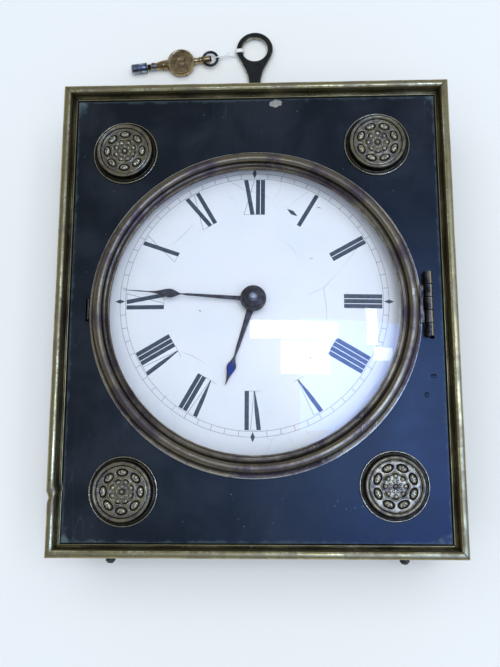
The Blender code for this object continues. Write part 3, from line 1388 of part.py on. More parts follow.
key_ring = turned("key_ring", ring_section, "dark brass", at(ring_middle.x, ring_middle.y, key_axis_z),
                  steps=key_ring_steps)

# Thread that ties the key to the left limb of the loop: wound on the limb, out round the ring and back
thread_radius = 0.00025
loop_middle = Vector((loop_middle_x, loop_middle_y, 0))
thread_angle = math.radians(188)
limb_width = loop_radius - loop_hole_radius
limb_spot = step_from(loop_middle, thread_angle, loop_hole_radius + limb_width / 2)
ring_limb = key_tip + key_line * (key_ring_at + key_ring_radius)
thread_line = (ring_limb - limb_spot).normalized()
thread_side = Vector((-thread_line.y, thread_line.x, 0))
thread_span = (ring_limb - limb_spot).length
thread_clear = thread_radius + fit_gap
thread_step = 0.0009
thread_wraps = 1.25
wrap_square_share = 0.6
wrap_points = 16
ring_turn_angles = (120, 90, 60, 30, 0, -30, -60, -90, -130)
thread_out_shares = (0.6, 0.55, 0.8, 0.3)
thread_back_shares = (0.9, 1.3, 0.60, 0.6, 0.3)


def squared(value):
    return math.copysign(abs(value) ** wrap_square_share, value)


def thread_route():
    def spot(reach, aside, height):
        return limb_spot + thread_line * reach + thread_side * aside + Vector((0, 0, height))
    outward = (limb_spot - loop_middle).normalized()
    wide = limb_width / 2 + thread_clear + fit_gap / 2
    tall = loop_thickness / 2 + thread_clear
    first_angle = 2 * math.pi * (1 - thread_wraps % 1) - math.pi / 2
    route = []
    for index in range(int(thread_wraps * wrap_points) + 1):
        part = index / wrap_points
        angle = first_angle + 2 * math.pi * part
        aside = thread_step * (part - thread_wraps / 2)
        point = limb_spot + outward * (wide * squared(math.cos(angle))) + thread_side * aside
        route.append(point + Vector((0, 0, loop_mid_z + tall * squared(math.sin(angle)))))
    around = key_ring_wire + thread_clear
    lead, middle, dip, slant = thread_out_shares
    route.append(spot(wide + thread_clear, thread_step * lead, loop_mid_z - tall * dip))
    route.append(spot(thread_span * middle, thread_step * lead, key_axis_z))
    for angle in ring_turn_angles:
        turn = math.radians(angle)
        route.append(spot(thread_span + around * math.cos(turn), thread_step * slant * math.sin(turn),
                          key_axis_z + around * math.sin(turn)))
    near, far, middle, sag, end_sag = thread_back_shares
    route.append(spot(thread_span * middle, -thread_step * near, key_axis_z - around * sag))
    route.append(spot(wide + 4 * thread_clear, -thread_step * far, key_axis_z - around * end_sag))
    return route


thread_points = thread_route()
thread_length = sum((b - a).length for a, b in zip(thread_points, thread_points[1:]))
print("thread length in mm", round(thread_length * 1000, 1))
key_thread = wire("key_thread", thread_points, thread_radius, "thread", resolution=1)
pivot("key pivot", (loop_middle_x, loop_middle_y, loop_mid_z), [key_pipe, key_body, key_ring, key_thread])
print("movement, hands and key made")
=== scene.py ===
# Sedan clock lying on its back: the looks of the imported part, in metres, dial towards +Z and XII towards +Y
import math
import bmesh
import bpy
import numpy as np
from mathutils import Matrix


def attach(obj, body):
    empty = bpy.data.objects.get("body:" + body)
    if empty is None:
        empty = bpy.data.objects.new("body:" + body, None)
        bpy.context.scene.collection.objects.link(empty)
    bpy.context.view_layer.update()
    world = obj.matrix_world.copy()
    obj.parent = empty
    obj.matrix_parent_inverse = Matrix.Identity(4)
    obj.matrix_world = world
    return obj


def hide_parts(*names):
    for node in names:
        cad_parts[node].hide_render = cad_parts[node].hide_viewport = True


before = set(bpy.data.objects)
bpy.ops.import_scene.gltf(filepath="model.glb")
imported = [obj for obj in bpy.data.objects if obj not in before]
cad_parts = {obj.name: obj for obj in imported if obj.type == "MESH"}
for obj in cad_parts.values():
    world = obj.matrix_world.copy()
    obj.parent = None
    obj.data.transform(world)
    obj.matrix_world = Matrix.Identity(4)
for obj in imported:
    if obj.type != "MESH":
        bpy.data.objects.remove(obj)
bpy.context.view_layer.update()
print("frame loaded")

caseLook = {"width": 0.1500, "height": 0.1800, "seatZ": 0.0313}
dialCentre = np.array([-0.0005, 0.0040])
fullTurn = 2 * math.pi


# Angles of a full turn in even steps
def turnAngles(steps):
    return np.linspace(0, fullTurn, steps, endpoint=False)


# Unit vector (cos a, sin a) of one angle or of each of many
def toward(angle):
    return np.stack([np.cos(angle), np.sin(angle)], axis=-1)


# Points of the plane turned by an angle: (x cos a - y sin a, x sin a + y cos a)
def turnedBy(points, angle):
    cos, sin = math.cos(angle), math.sin(angle)
    return np.asarray(points) @ np.array([[cos, sin], [-sin, cos]])


# The size of a value raised to a power, its sign kept: a power under 1 squares a circle off
def squarish(value, power):
    return np.copysign(np.abs(value) ** power, value)


# Smooth step from 0 to 1 between two values: 3 s^2 - 2 s^3
def ease(value, low, high):
    share = np.clip((value - low) / (high - low), 0, 1)
    return share * share * (3 - 2 * share)


# Tent over a count of points: the peak in the middle, falling by 1 to both ends
def tent(count, peak):
    return peak - np.abs(np.linspace(-1, 1, count))


# Curve through given points: a cubic between each two, with the slope of its neighbours
def throughPoints(at, known, values):
    known, values = np.asarray(known, float), np.asarray(values, float)
    slope = np.gradient(values, known)
    index = np.clip(np.searchsorted(known, at) - 1, 0, len(known) - 2)
    span = known[index + 1] - known[index]
    share = np.clip((at - known[index]) / span, 0, 1)
    low, high = values[index], values[index + 1]
    return ((1 + 2 * share) * (1 - share) ** 2 * low + share ** 2 * (3 - 2 * share) * high
            + share * (1 - share) ** 2 * span * slope[index]
            - share ** 2 * (1 - share) * span * slope[index + 1])


# Points of an arc, centre + (across cos a, up sin a), from one angle to another in degrees
def arcPoints(centre, across, up, start, end, count):
    return np.asarray(centre) + (across, up) * toward(np.radians(np.linspace(start, end, count)))


# Local axes at an origin: third along a direction, first towards a side
def spotAxes(origin, direction, side):
    third = np.asarray(direction, float) / np.linalg.norm(direction)
    firstAxis = np.asarray(side, float) - np.dot(side, third) * third
    firstAxis /= np.linalg.norm(firstAxis)
    return np.asarray(origin, float), np.stack([firstAxis, np.cross(third, firstAxis), third])


# Local points set in place: origin + x first + y second + z third
def placed(points, axes):
    origin, directions = axes
    return points @ directions + origin


# Faces of a grid of points, four corners each; a closed way joins its last line to its first
def gridFaces(rows, columns, closedRows, closedColumns):
    row = np.arange(rows if closedRows else rows - 1)[:, None]
    column = np.arange(columns if closedColumns else columns - 1)[None, :]
    nextRow, nextColumn = (row + 1) % rows, (column + 1) % columns
    corners = [row * columns + column, row * columns + nextColumn,
               nextRow * columns + nextColumn, nextRow * columns + column]
    return np.stack(corners, axis=-1).reshape(-1, 4).tolist()


# One shell from a grid of points whose columns run round; caps close open rows by a face at each end
def shell(points, closedRows=False, caps=False, wear=0.0):
    rows, columns = points.shape[:2]
    faces = gridFaces(rows, columns, closedRows, True)
    if caps:
        faces += [list(range(columns)), list(range((rows - 1) * columns, rows * columns))]
    return points.reshape(-1, 3), faces, np.broadcast_to(wear, (rows, columns)).reshape(-1)


# Turned shell: each profile point (radius, height) goes round the axis, x = r cos a, y = r sin a
def turned(profile, steps, wear=0.0, centre=(0.0, 0.0), axes=None, ring=True):
    profile = np.asarray(profile, float)
    flat = np.asarray(centre) + profile[:, :1, None] * toward(turnAngles(steps))
    points = np.concatenate([flat, np.broadcast_to(profile[:, 1:2, None], (*flat.shape[:2], 1))], axis=-1)
    return shell(placed(points, axes) if axes else points, ring, wear=wear)


# A tube along points: rings of a section carried by frames that turn as little as they can
def tube(points, radiusAt, sides):
    ahead = np.gradient(points, axis=0)
    ahead /= np.linalg.norm(ahead, axis=1)[:, None]
    normals = np.zeros_like(points)
    normal = np.cross(ahead[0], (0.0, 0.0, 1.0))
    for index, direction in enumerate(ahead):
        normal = normal - np.dot(normal, direction) * direction
        normal /= np.linalg.norm(normal)
        normals[index] = normal
    across = np.cross(ahead, normals)
    angle = turnAngles(sides)
    along = np.concatenate([[0], np.cumsum(np.linalg.norm(np.diff(points, axis=0), axis=1))])
    radius = radiusAt(along[:, None], angle[None, :])[..., None]
    cos, sin = np.cos(angle)[None, :, None], np.sin(angle)[None, :, None]
    return shell(points[:, None] + radius * (cos * normals[:, None] + sin * across[:, None]), caps=True)


# An object in the scene for a mesh, lamp or camera
def newObject(name, data):
    made = bpy.data.objects.new(name, data)
    bpy.context.scene.collection.objects.link(made)
    return made


# A named piece from one or more shells: doubles merged, faces outwards, smooth but for its sharp edges
def makePiece(name, shells, body, finish, stands=(), sharpDegrees=40.0, mergeUnder=0.0000005):
    points, faces, worn, first = [], [], [], 0
    for shellPoints, shellFaces, shellWorn in shells:
        points.append(shellPoints)
        worn.append(shellWorn)
        faces += [[corner + first for corner in face] for face in shellFaces]
        first += len(shellPoints)
    mesh = bpy.data.meshes.new(name)
    mesh.from_pydata(np.concatenate(points), [], faces)
    wear = np.concatenate(worn).astype(np.float32)
    mesh.attributes.new("wear", 'FLOAT', 'POINT').data.foreach_set("value", wear)
    shape = bmesh.new()
    shape.from_mesh(mesh)
    bmesh.ops.remove_doubles(shape, verts=shape.verts, dist=mergeUnder)
    bmesh.ops.recalc_face_normals(shape, faces=shape.faces)
    shape.to_mesh(mesh)
    shape.free()
    return dressed(newObject(name, mesh), body, finish, stands, sharpDegrees)


# Finish, smooth shading, body and the CAD nodes that a piece stands for
def dressed(piece, body, finish, stands, sharpDegrees):
    piece.data.materials.clear()
    piece.data.materials.append(finishes[finish])
    piece.data.shade_smooth()
    piece.data.set_sharp_from_angle(angle=math.radians(sharpDegrees))
    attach(piece, body)
    if stands:
        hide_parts(*stands)
    return piece


# Sharp edges of a piece broken by a small bevel in two steps
def breakEdges(piece, width, degrees):
    bevel = piece.modifiers.new("eased edges", 'BEVEL')
    bevel.width = width
    bevel.segments = 2
    bevel.limit_method = 'ANGLE'
    bevel.angle_limit = math.radians(degrees)
    bevel.harden_normals = True


# Camera, as the photograph was taken
cameraLook = {"place": (0.0091880, -0.0580784, 0.3146257), "turn": (-9.97, -2.21, 0.35), "focalPixels": 759.6,
              "longSidePixels": 667, "sensor": 36.0}


# Lens = sensor x focal length in pixels / long side in pixels; the turns follow each other about x, y and z
def addCamera(look):
    turnX, turnY, turnZ = (math.radians(angle) for angle in look["turn"])
    turn = Matrix.Rotation(turnZ, 3, 'Z') @ Matrix.Rotation(turnY, 3, 'Y') @ Matrix.Rotation(turnX, 3, 'X')
    camera = newObject("camera", bpy.data.cameras.new("camera"))
    camera.data.sensor_width = look["sensor"]
    camera.data.lens = look["sensor"] * look["focalPixels"] / look["longSidePixels"]
    camera.data.clip_start = 0.01
    camera.matrix_world = Matrix.Translation(look["place"]) @ turn.transposed().to_4x4()
    bpy.context.scene.camera = camera


addCamera(cameraLook)


# Links the sockets and sets the plain values on a node's inputs
def feed(node, values):
    for name, value in values.items():
        if isinstance(value, bpy.types.NodeSocket):
            node.id_data.links.new(value, node.inputs[name])
        else:
            node.inputs[name].default_value = value


# A new shader node in the tree of its owner, which is a tree, a node or a socket
def nodeIn(owner, kind, values=None, **settings):
    made = owner.id_data.nodes.new("ShaderNode" + kind)
    for name, value in settings.items():
        setattr(made, name, value)
    feed(made, values or {})
    return made


# The first of some values that is a socket, which tells the tree to build in
def firstSocket(*values):
    return next(value for value in values if isinstance(value, bpy.types.NodeSocket))


# Small builders of nodes: each stands in the tree of its first socket and gives its output socket. A look
# gives a noise as (scale, detail, roughness, distortion), without the scale where a group is given that, and
# a step as (from, to, value at from, value at to)
def noiseOf(vector, scale, detail=3.0, roughness=0.55, distortion=0.0):
    return nodeIn(vector, "TexNoise", {"Vector": vector, "Scale": scale, "Detail": detail,
                                       "Roughness": roughness, "Distortion": distortion}).outputs["Fac"]


# A smooth step of a value from one range to another
def rangeOf(value, low, high, toLow=0.0, toHigh=1.0):
    return nodeIn(value, "MapRange", {"Value": value, "From Min": low, "From Max": high, "To Min": toLow,
                                      "To Max": toHigh}, interpolation_type='SMOOTHSTEP').outputs["Result"]


# One node of arithmetic on sockets or numbers
def mathOf(operation, first, second=0.0, clamp=False):
    return nodeIn(firstSocket(first, second), "Math", {0: first, 1: second}, operation=operation,
                  use_clamp=clamp).outputs[0]


# Its three usual kinds: product, sum and difference
def times(first, second):
    return mathOf('MULTIPLY', first, second)


def plus(first, second, clamp=False):
    return mathOf('ADD', first, second, clamp)


def minus(first, second):
    return mathOf('SUBTRACT', first, second)


# A noise about zero instead of about its middle value
def centred(noise):
    return minus(noise, 0.5)


# Two tones mixed by a share
def mixOf(share, first, second, blend='MIX'):
    return nodeIn(firstSocket(share, first, second), "Mix", {0: share, 6: first, 7: second}, data_type='RGBA',
                  blend_type=blend).outputs[2]


# A tone with its cover, which is always full
def colour(tone):
    return (*tone, 1.0)


# Squared distance from a spot, each axis measured in the spot's own half size
def farFrom(place, middle, size):
    away = [mathOf('DIVIDE', minus(place[axis], centre), half)
            for axis, centre, half in zip("XY", middle, size)]
    return plus(*(times(part, part) for part in away))


# A node group with its named inputs and outputs, each given with its kind of socket
def newGroup(name, inputs, outputs):
    group = bpy.data.node_groups.new(name, 'ShaderNodeTree')
    for way, sockets in (('INPUT', inputs), ('OUTPUT', outputs)):
        for socket, kind in sockets.items():
            group.interface.new_socket(socket, in_out=way, socket_type="NodeSocket" + kind)
    return group, group.nodes.new("NodeGroupInput").outputs, group.nodes.new("NodeGroupOutput")


patinaLook = {"patchNoise": (5.0, 0.62, 0.4), "fineNoise": (4.0, 0.6), "patchBand": (0.36, 0.60),
              "fineTimes": 7.0, "fineSpread": 0.9, "patchSpread": 0.8, "rubBand": (0.45, 1.0),
              "pitRange": (0.30, 0.38, 0.55, 1.0), "sunkSpread": 0.4,
              "sunkRange": (-1.0, 0.0, 0.10, 1.0), "roughRange": (0.35, 0.65, 0.50, 0.34), "rubGloss": 0.10}


# Old brass: patches of deep tarnish in a middle tone, rubbed bright where the wear value is high
def agedPatinaGroup(look):
    group, given, end = newGroup("agedPatina", {"Vector": "Vector", "Scale": "Float", "Deep": "Color",
                                                "Middle": "Color", "Bright": "Color", "Wear": "Float"},
                                 {"Colour": "Color", "Roughness": "Float", "Height": "Float"})
    patches = noiseOf(given["Vector"], given["Scale"], *look["patchNoise"])
    fine = noiseOf(given["Vector"], times(given["Scale"], look["fineTimes"]), *look["fineNoise"])
    tone = mixOf(rangeOf(patches, *look["patchBand"]), given["Deep"], given["Middle"])
    spread = plus(given["Wear"], times(centred(fine), look["fineSpread"]))
    rubbed = rangeOf(plus(spread, times(centred(patches), look["patchSpread"])), *look["rubBand"])
    tone = mixOf(rubbed, tone, given["Bright"])
    tone = mixOf(1.0, tone, rangeOf(fine, *look["pitRange"]), 'MULTIPLY')
    sunk = rangeOf(plus(given["Wear"], times(centred(fine), look["sunkSpread"])), *look["sunkRange"])
    tone = mixOf(1.0, tone, sunk, 'MULTIPLY')
    rough = minus(rangeOf(patches, *look["roughRange"]), times(rubbed, look["rubGloss"]))
    feed(end, {"Colour": tone, "Roughness": rough, "Height": fine})
    return group


scratchLook = {"lines": ((0.5, 0.06), (-0.9, 0.05)), "lineNoise": (1.0, 0.5),
               "lineRange": (0.0, 0.006, 1.0, 0.0), "breakTimes": 0.35, "breakRange": (0.5, 0.62)}


# Hair scratches: thin lines where two noises, turned and stretched, cross their middle value
def hairScratchGroup(look):
    group, given, end = newGroup("hairScratches", {"Vector": "Vector", "Scale": "Float"}, {"Mask": "Float"})
    lines = []
    for turn, stretch in look["lines"]:
        laid = nodeIn(group, "Mapping", {"Vector": given["Vector"], "Rotation": (0.0, 0.0, turn),
                                         "Scale": (1.0, stretch, 1.0)})
        field = noiseOf(laid.outputs[0], given["Scale"], *look["lineNoise"])
        lines.append(rangeOf(mathOf('ABSOLUTE', centred(field)), *look["lineRange"]))
    broken = rangeOf(noiseOf(given["Vector"], times(given["Scale"], look["breakTimes"])), *look["breakRange"])
    feed(end, {"Mask": times(mathOf('MAXIMUM', *lines), broken)})
    return group


dustLook = {"dotRange": (0.05, 0.12, 1.0, 0.0), "lotTimes": 0.22, "lotRange": (0.54, 0.66)}


# Dust: small pale dots at scattered cells, thinned out by a slow noise
def dustGroup(look):
    group, given, end = newGroup("dust", {"Vector": "Vector", "Scale": "Float"}, {"Mask": "Float"})
    cells = nodeIn(group, "TexVoronoi",
                   {"Vector": given["Vector"], "Scale": given["Scale"]}).outputs["Distance"]
    dots = rangeOf(cells, *look["dotRange"])
    lots = rangeOf(noiseOf(given["Vector"], times(given["Scale"], look["lotTimes"])), *look["lotRange"])
    feed(end, {"Mask": times(dots, lots)})
    return group


grainLook = {"stretch": (1.0, 0.12, 1.0), "bands": (420.0, 4.0, 0.6, 0.6), "bandRange": (0.35, 0.68),
             "bandHeight": 0.4, "pores": (2600.0, 2.0, 0.5), "poreRange": (0.32, 0.46, 0.55, 1.0)}


# Straight wood grain: bands of a noise stretched along one way, darkened by fine pores
def woodGrainGroup(look):
    group, given, end = newGroup("woodGrain", {"Vector": "Vector", "Dark": "Color", "Light": "Color"},
                                 {"Colour": "Color", "Height": "Float"})
    laid = nodeIn(group, "Mapping", {"Vector": given["Vector"], "Scale": look["stretch"]}).outputs[0]
    bands = noiseOf(laid, *look["bands"])
    pores = noiseOf(laid, *look["pores"])
    tone = mixOf(rangeOf(bands, *look["bandRange"]), given["Dark"], given["Light"])
    tone = mixOf(1.0, tone, rangeOf(pores, *look["poreRange"]), 'MULTIPLY')
    feed(end, {"Colour": tone, "Height": plus(times(bands, look["bandHeight"]), pores)})
    return group


groups = {"patina": agedPatinaGroup(patinaLook), "scratches": hairScratchGroup(scratchLook),
          "dust": dustGroup(dustLook), "grain": woodGrainGroup(grainLook)}


# A group laid on a place with its own values
def placeGroup(name, values):
    return nodeIn(values["Vector"], "Group", values, node_tree=groups[name]).outputs


# Patina of one look over a wear value
def patinaOf(where, look, wear):
    return placeGroup("patina", {"Vector": where, "Scale": look["scale"], "Deep": colour(look["deep"]),
                                 "Middle": colour(look["middle"]), "Bright": colour(look["bright"]),
                                 "Wear": wear})


# Mask of hair scratches at one scale
def scratchesOf(where, scale):
    return placeGroup("scratches", {"Vector": where, "Scale": scale})["Mask"]


# A new material with its Principled shader and the object's own coordinates
def newMaterial(name, metallic=0.0):
    material = bpy.data.materials.new(name)
    material.use_nodes = True
    shader = material.node_tree.nodes["Principled BSDF"]
    feed(shader, {"Metallic": metallic})
    return material, shader, nodeIn(shader, "TexCoord").outputs["Object"]


# A bump node between a height and the shader's normal
def bumpTo(shader, height, strength, distance):
    bump = nodeIn(shader, "Bump", {"Height": height, "Strength": strength, "Distance": distance})
    feed(shader, {"Normal": bump.outputs["Normal"]})


surfaceLook = {"bumpStrength": 0.35, "scratchDeep": 0.4, "paintedReflectionRange": (0.1, 1.0, 1.0, 0.0),
               "litFlankBand": (0.05, 0.55), "flatBand": (0.45, 0.98), "rubbedBump": 0.00004}


# Brass or steel with patina and scratches, and where its look gives a spot, a painted reflection of the blue
# sky there; without a wear value in its look it reads the piece's own
def patinaMetal(name, look, surface):
    material, shader, where = newMaterial(name, 1.0)
    if "wear" in look:
        wear = look["wear"]
    else:
        wear = nodeIn(shader, "Attribute", attribute_name="wear").outputs["Fac"]
    patina = patinaOf(where, look, wear)
    scratches = scratchesOf(where, look["scratchScale"])
    tone = mixOf(times(scratches, look["scratchShare"]), patina["Colour"], colour(look["bright"]))
    # Painted reflection: the blue of the sky laid into the colour round the given spot
    if "paintedReflectionSpot" in look:
        place = nodeIn(shader, "SeparateXYZ", {0: where}).outputs
        near = rangeOf(farFrom(place, *look["paintedReflectionSpot"]), *surface["paintedReflectionRange"])
        tone = mixOf(near, tone, colour(look["blue"]))
    feed(shader, {"Base Color": tone, "Roughness": plus(patina["Roughness"], look["rougher"], True)})
    bumpTo(shader, minus(patina["Height"], times(scratches, surface["scratchDeep"])),
           surface["bumpStrength"], look["bumpHeight"])
    return material


metalColumns = ("scale", "deep", "middle", "bright", "scratchScale", "scratchShare", "rougher", "bumpHeight",
                "wear")
metalRows = {
    "agedBrass": (120, (0.31, 0.245, 0.125), (0.42, 0.35, 0.16), (0.80, 0.73, 0.43), 260, 0.35, 0, 4e-5),
    "bezelBrass": (75, (0.125, 0.090, 0.082), (0.245, 0.20, 0.125), (0.84, 0.80, 0.64), 260, 0.35, 0, 4e-5),
    "rosetteBrass": (420, (0.17, 0.14, 0.105), (0.33, 0.28, 0.165), (0.68, 0.59, 0.35), 700, 0.2, 0, 4e-5),
    "darkBrass": (260, (0.035, 0.038, 0.035), (0.07, 0.068, 0.055), (0.55, 0.5, 0.36), 500, 0.25, 0.02, 5e-5),
    "keyBrass": (380, (0.20, 0.13, 0.06), (0.46, 0.32, 0.15), (0.80, 0.62, 0.34), 700, 0.3, 0, 4e-5),
    "keySteel": (500, (0.10, 0.115, 0.14), (0.30, 0.345, 0.41), (0.66, 0.74, 0.84), 900, 0.3, -0.08, 3e-5),
    "plainBrass": (420, (0.31, 0.245, 0.13), (0.42, 0.34, 0.18), (0.75, 0.65, 0.4), 500, 0.35, 0, 4e-5, 0.25),
    "giltBrass": (300, (0.67, 0.485, 0.215), (0.78, 0.57, 0.26), (0.95, 0.78, 0.45), 800, 0.3, -0.05, 3e-5,
                  0.35),
    "plainSteel": (300, (0.16, 0.17, 0.19), (0.34, 0.36, 0.39), (0.66, 0.69, 0.74), 900, 0.4, -0.1, 3e-5,
                   0.3),
    "handSteel": (380, (0.04, 0.036, 0.037), (0.078, 0.07, 0.072), (0.42, 0.44, 0.46), 900, 0.35, 0.1, 2e-5),
    "bluedSteel": (340, (0.02, 0.028, 0.045), (0.045, 0.06, 0.095), (0.16, 0.19, 0.26), 900, 0.25, -0.02,
                   2e-5)}
metalLooks = {name: dict(zip(metalColumns, row)) for name, row in metalRows.items()}
# The hour hand's steel, with a painted reflection of the blue sky on its spade
metalLooks["hourSteel"] = {**metalLooks["handSteel"], "paintedReflectionSpot": ((-0.0090, -0.0222), (0.0017, 0.0036)),
                           "blue": (0.022, 0.055, 0.23)}
finishes = {name: patinaMetal(name, look, surfaceLook) for name, look in metalLooks.items()}

rubbedAndLitLooks = {
    "loopMetal": {**metalLooks["darkBrass"], "edgeWear": 0.75, "flatWear": 0.05},
    # Hinge leaves and catch: faces towards +X get a painted highlight and all other faces stay darker
    "hingeMetal": {"scale": 300, "deep": (0.020, 0.020, 0.025), "middle": (0.10, 0.085, 0.065),
                   "bright": (0.72, 0.62, 0.42), "edgeWear": 1.0, "flatWear": 0.32, "litFlank": True}}


# Plain metal whose sloping faces are brighter than its flat ones, or with a lit flank only those towards +X,
# which is a painted highlight on the side that faces the light
def rubbedEdgesAndLitFlank(name, look, surface):
    material, shader, where = newMaterial(name, 1.0)
    facing = nodeIn(shader, "SeparateXYZ", {0: nodeIn(shader, "TexCoord").outputs["Normal"]}).outputs
    if look.get("litFlank"):
        slope = rangeOf(facing["X"], *surface["litFlankBand"], look["flatWear"], look["edgeWear"])
    else:
        slope = rangeOf(mathOf('ABSOLUTE', facing["Z"]), *surface["flatBand"], look["edgeWear"],
                        look["flatWear"])
    patina = patinaOf(where, look, slope)
    feed(shader, {"Base Color": patina["Colour"], "Roughness": patina["Roughness"]})
    bumpTo(shader, patina["Height"], surface["bumpStrength"], surface["rubbedBump"])
    return material


for name, look in rubbedAndLitLooks.items():
    finishes[name] = rubbedEdgesAndLitFlank(name, look, surfaceLook)

japanLook = {"deep": (0.0065, 0.0075, 0.0080), "lift": (0.0145, 0.0160, 0.0175), "worn": (0.11, 0.17, 0.21),
             "wornWidth": 0.0012, "halfSize": (0.0702, 0.0852), "dustColour": (0.16, 0.21, 0.28),
             "sheen": (0.38, 0.62, 1.0), "specular": 0.36, "cornerPatch": 0.0034, "edgeStrength": 0.22,
             "patchStrength": 0.6, "edgeRagged": 0.0042, "cornerRagged": 0.010, "dustScale": 420.0,
             "dustStrength": 0.6, "scratchScale": 130.0, "scratchStrength": 0.05,
             "roughRange": (0.3, 0.7, 0.30, 0.42), "chipAt": (0.0082, 0.0830), "chipSize": (0.0034, 0.0021),
             "chipColour": (0.42, 0.38, 0.33), "chipRagged": 2.6, "clouds": (38.0, 5.0, 0.6, 0.3),
             "cloudBand": (0.35, 0.70), "fine": (900.0, 4.0, 0.6), "ragged": (230.0, 4.0, 0.65),
             "chipNoise": (330.0, 4.0, 0.6), "chipRange": (0.30, 0.50, 1.0, 0.0),
             "bumpRange": (0.0, 1.0, 1.0, 0.0), "edgeFrom": 0.0002, "cloudLift": 3.0, "chipSink": 3.0,
             "bumpLift": 9.0, "bump": (0.30, 0.00006), "wornRough": 0.2,
             "bumps": (((0.0658, -0.0252), (0.0014, 0.0009)), ((0.0630, -0.0321), (0.0010, 0.0012)))}


# Black japan: slow cloudy tone, worn paler along the borders, dusted, with one chip down to the ground coat
def blackJapan(look):
    material, shader, where = newMaterial("blackJapan")
    place = nodeIn(shader, "SeparateXYZ", {0: where}).outputs
    clouds = noiseOf(where, *look["clouds"])
    fine = noiseOf(where, *look["fine"])
    tone = mixOf(rangeOf(clouds, *look["cloudBand"]), colour(look["deep"]), colour(look["lift"]))
    gaps = [minus(half, mathOf('ABSOLUTE', place[axis])) for axis, half in zip("XY", look["halfSize"])]
    ragged = centred(noiseOf(where, *look["ragged"]))
    side = plus(mathOf('MINIMUM', *gaps), times(ragged, look["edgeRagged"]))
    corner = plus(times(plus(*gaps), 0.5), times(ragged, look["cornerRagged"]))
    edgeLine = rangeOf(side, look["edgeFrom"], look["wornWidth"], look["edgeStrength"], 0.0)
    worn = mathOf('MAXIMUM', edgeLine, rangeOf(corner, 0.0, look["cornerPatch"], look["patchStrength"], 0.0))
    tone = mixOf(worn, tone, colour(look["worn"]))
    dust = placeGroup("dust", {"Vector": where, "Scale": look["dustScale"]})["Mask"]
    scratches = scratchesOf(where, look["scratchScale"])
    marks = mathOf('MAXIMUM', times(dust, look["dustStrength"]), times(scratches, look["scratchStrength"]))
    tone = mixOf(marks, tone, colour(look["dustColour"]))
    rough = times(centred(noiseOf(where, *look["chipNoise"])), look["chipRagged"])
    chip = rangeOf(plus(farFrom(place, look["chipAt"], look["chipSize"]), rough), *look["chipRange"])
    tone = mixOf(chip, tone, mixOf(fine, colour(look["worn"]), colour(look["chipColour"])))
    lumps = plus(*(rangeOf(farFrom(place, *spot), *look["bumpRange"]) for spot in look["bumps"]))
    lumps = times(lumps, lumps)
    feed(shader, {"Base Color": tone, "Specular IOR Level": look["specular"],
                  "Specular Tint": colour(look["sheen"]),
                  "Roughness": plus(rangeOf(clouds, *look["roughRange"]), times(worn, look["wornRough"]),
                                    True)})
    height = minus(plus(times(clouds, look["cloudLift"]), fine), times(chip, look["chipSink"]))
    bumpTo(shader, plus(height, times(lumps, look["bumpLift"])), *look["bump"])
    return material


woodLook = {"dark": (0.020, 0.013, 0.010), "light": (0.060, 0.036, 0.022), "scratched": (0.16, 0.12, 0.09),
            "scratchScale": 150.0, "scratchShare": 0.25, "roughness": 0.48, "bump": (0.4, 0.00008)}


# Dark stained wood with its grain and pale scratches
def stainedWood(look):
    material, shader, where = newMaterial("stainedWood")
    grain = placeGroup("grain", {"Vector": where, "Dark": colour(look["dark"]),
                                 "Light": colour(look["light"])})
    scratches = scratchesOf(where, look["scratchScale"])
    feed(shader, {"Base Color": mixOf(times(scratches, look["scratchShare"]), grain["Colour"],
                                      colour(look["scratched"])), "Roughness": look["roughness"]})
    bumpTo(shader, grain["Height"], *look["bump"])
    return material


enamelLook = {"clean": (0.93, 0.955, 0.965), "shade": (0.88, 0.92, 0.94), "stain": (0.42, 0.40, 0.36),
              "roughness": 0.16, "netScale": 55.0, "netBend": 0.01, "netStrength": 0.35, "spotStrength": 0.5,
              "clouds": (45.0, 4.0, 0.5), "cloudBand": (0.35, 0.75), "bendScale": 60.0,
              "netRange": (0.0, 0.012, 1.0, 0.0), "netPatches": 24.0, "patchBand": (0.56, 0.66),
              "spots": (210.0, 2.0), "spotBand": (0.74, 0.80), "bump": (0.15, 0.00005)}


# White enamel: faintly cloudy, with a net of fine crazing and a few stains
def whiteEnamel(look):
    material, shader, where = newMaterial("whiteEnamel")
    clouds = noiseOf(where, *look["clouds"])
    tone = mixOf(rangeOf(clouds, *look["cloudBand"]), colour(look["clean"]), colour(look["shade"]))
    bending = nodeIn(shader, "TexNoise", {"Vector": where, "Scale": look["bendScale"]}).outputs["Color"]
    net = nodeIn(shader, "TexVoronoi", {"Vector": mixOf(look["netBend"], where, bending),
                                        "Scale": look["netScale"]},
                 feature='DISTANCE_TO_EDGE').outputs["Distance"]
    lines = rangeOf(net, *look["netRange"])
    patches = rangeOf(noiseOf(where, look["netPatches"]), *look["patchBand"], 0.0, look["netStrength"])
    crazed = times(lines, patches)
    tone = mixOf(crazed, tone, colour(look["stain"]))
    spots = rangeOf(noiseOf(where, *look["spots"]), *look["spotBand"], 0.0, look["spotStrength"])
    feed(shader, {"Base Color": mixOf(spots, tone, colour(look["stain"])), "Roughness": look["roughness"]})
    bumpTo(shader, clouds, *look["bump"])
    return material


inkLook = {"uneven": (900.0, 3.0), "unevenBand": (0.35, 0.70), "roughness": 0.25}
inkTones = {"numeralInk": ((0.030, 0.045, 0.070), (0.055, 0.080, 0.115)),
            "hairline": ((0.30, 0.36, 0.42), (0.52, 0.60, 0.66))}


# Black fired ink of the dial, a little uneven between two tones
def dialInk(name, deep, pale, look):
    material, shader, where = newMaterial(name)
    uneven = rangeOf(noiseOf(where, *look["uneven"]), *look["unevenBand"])
    feed(shader, {"Base Color": mixOf(uneven, colour(deep), colour(pale)), "Roughness": look["roughness"]})
    return material


clearLook = {"smears": (60.0, 4.0), "smearRange": (0.5, 0.75, 0.0, 0.03), "tint": (0.99, 1.0, 1.0),
             "lampTint": (1.0, 1.0, 1.0), "refraction": 1.5}


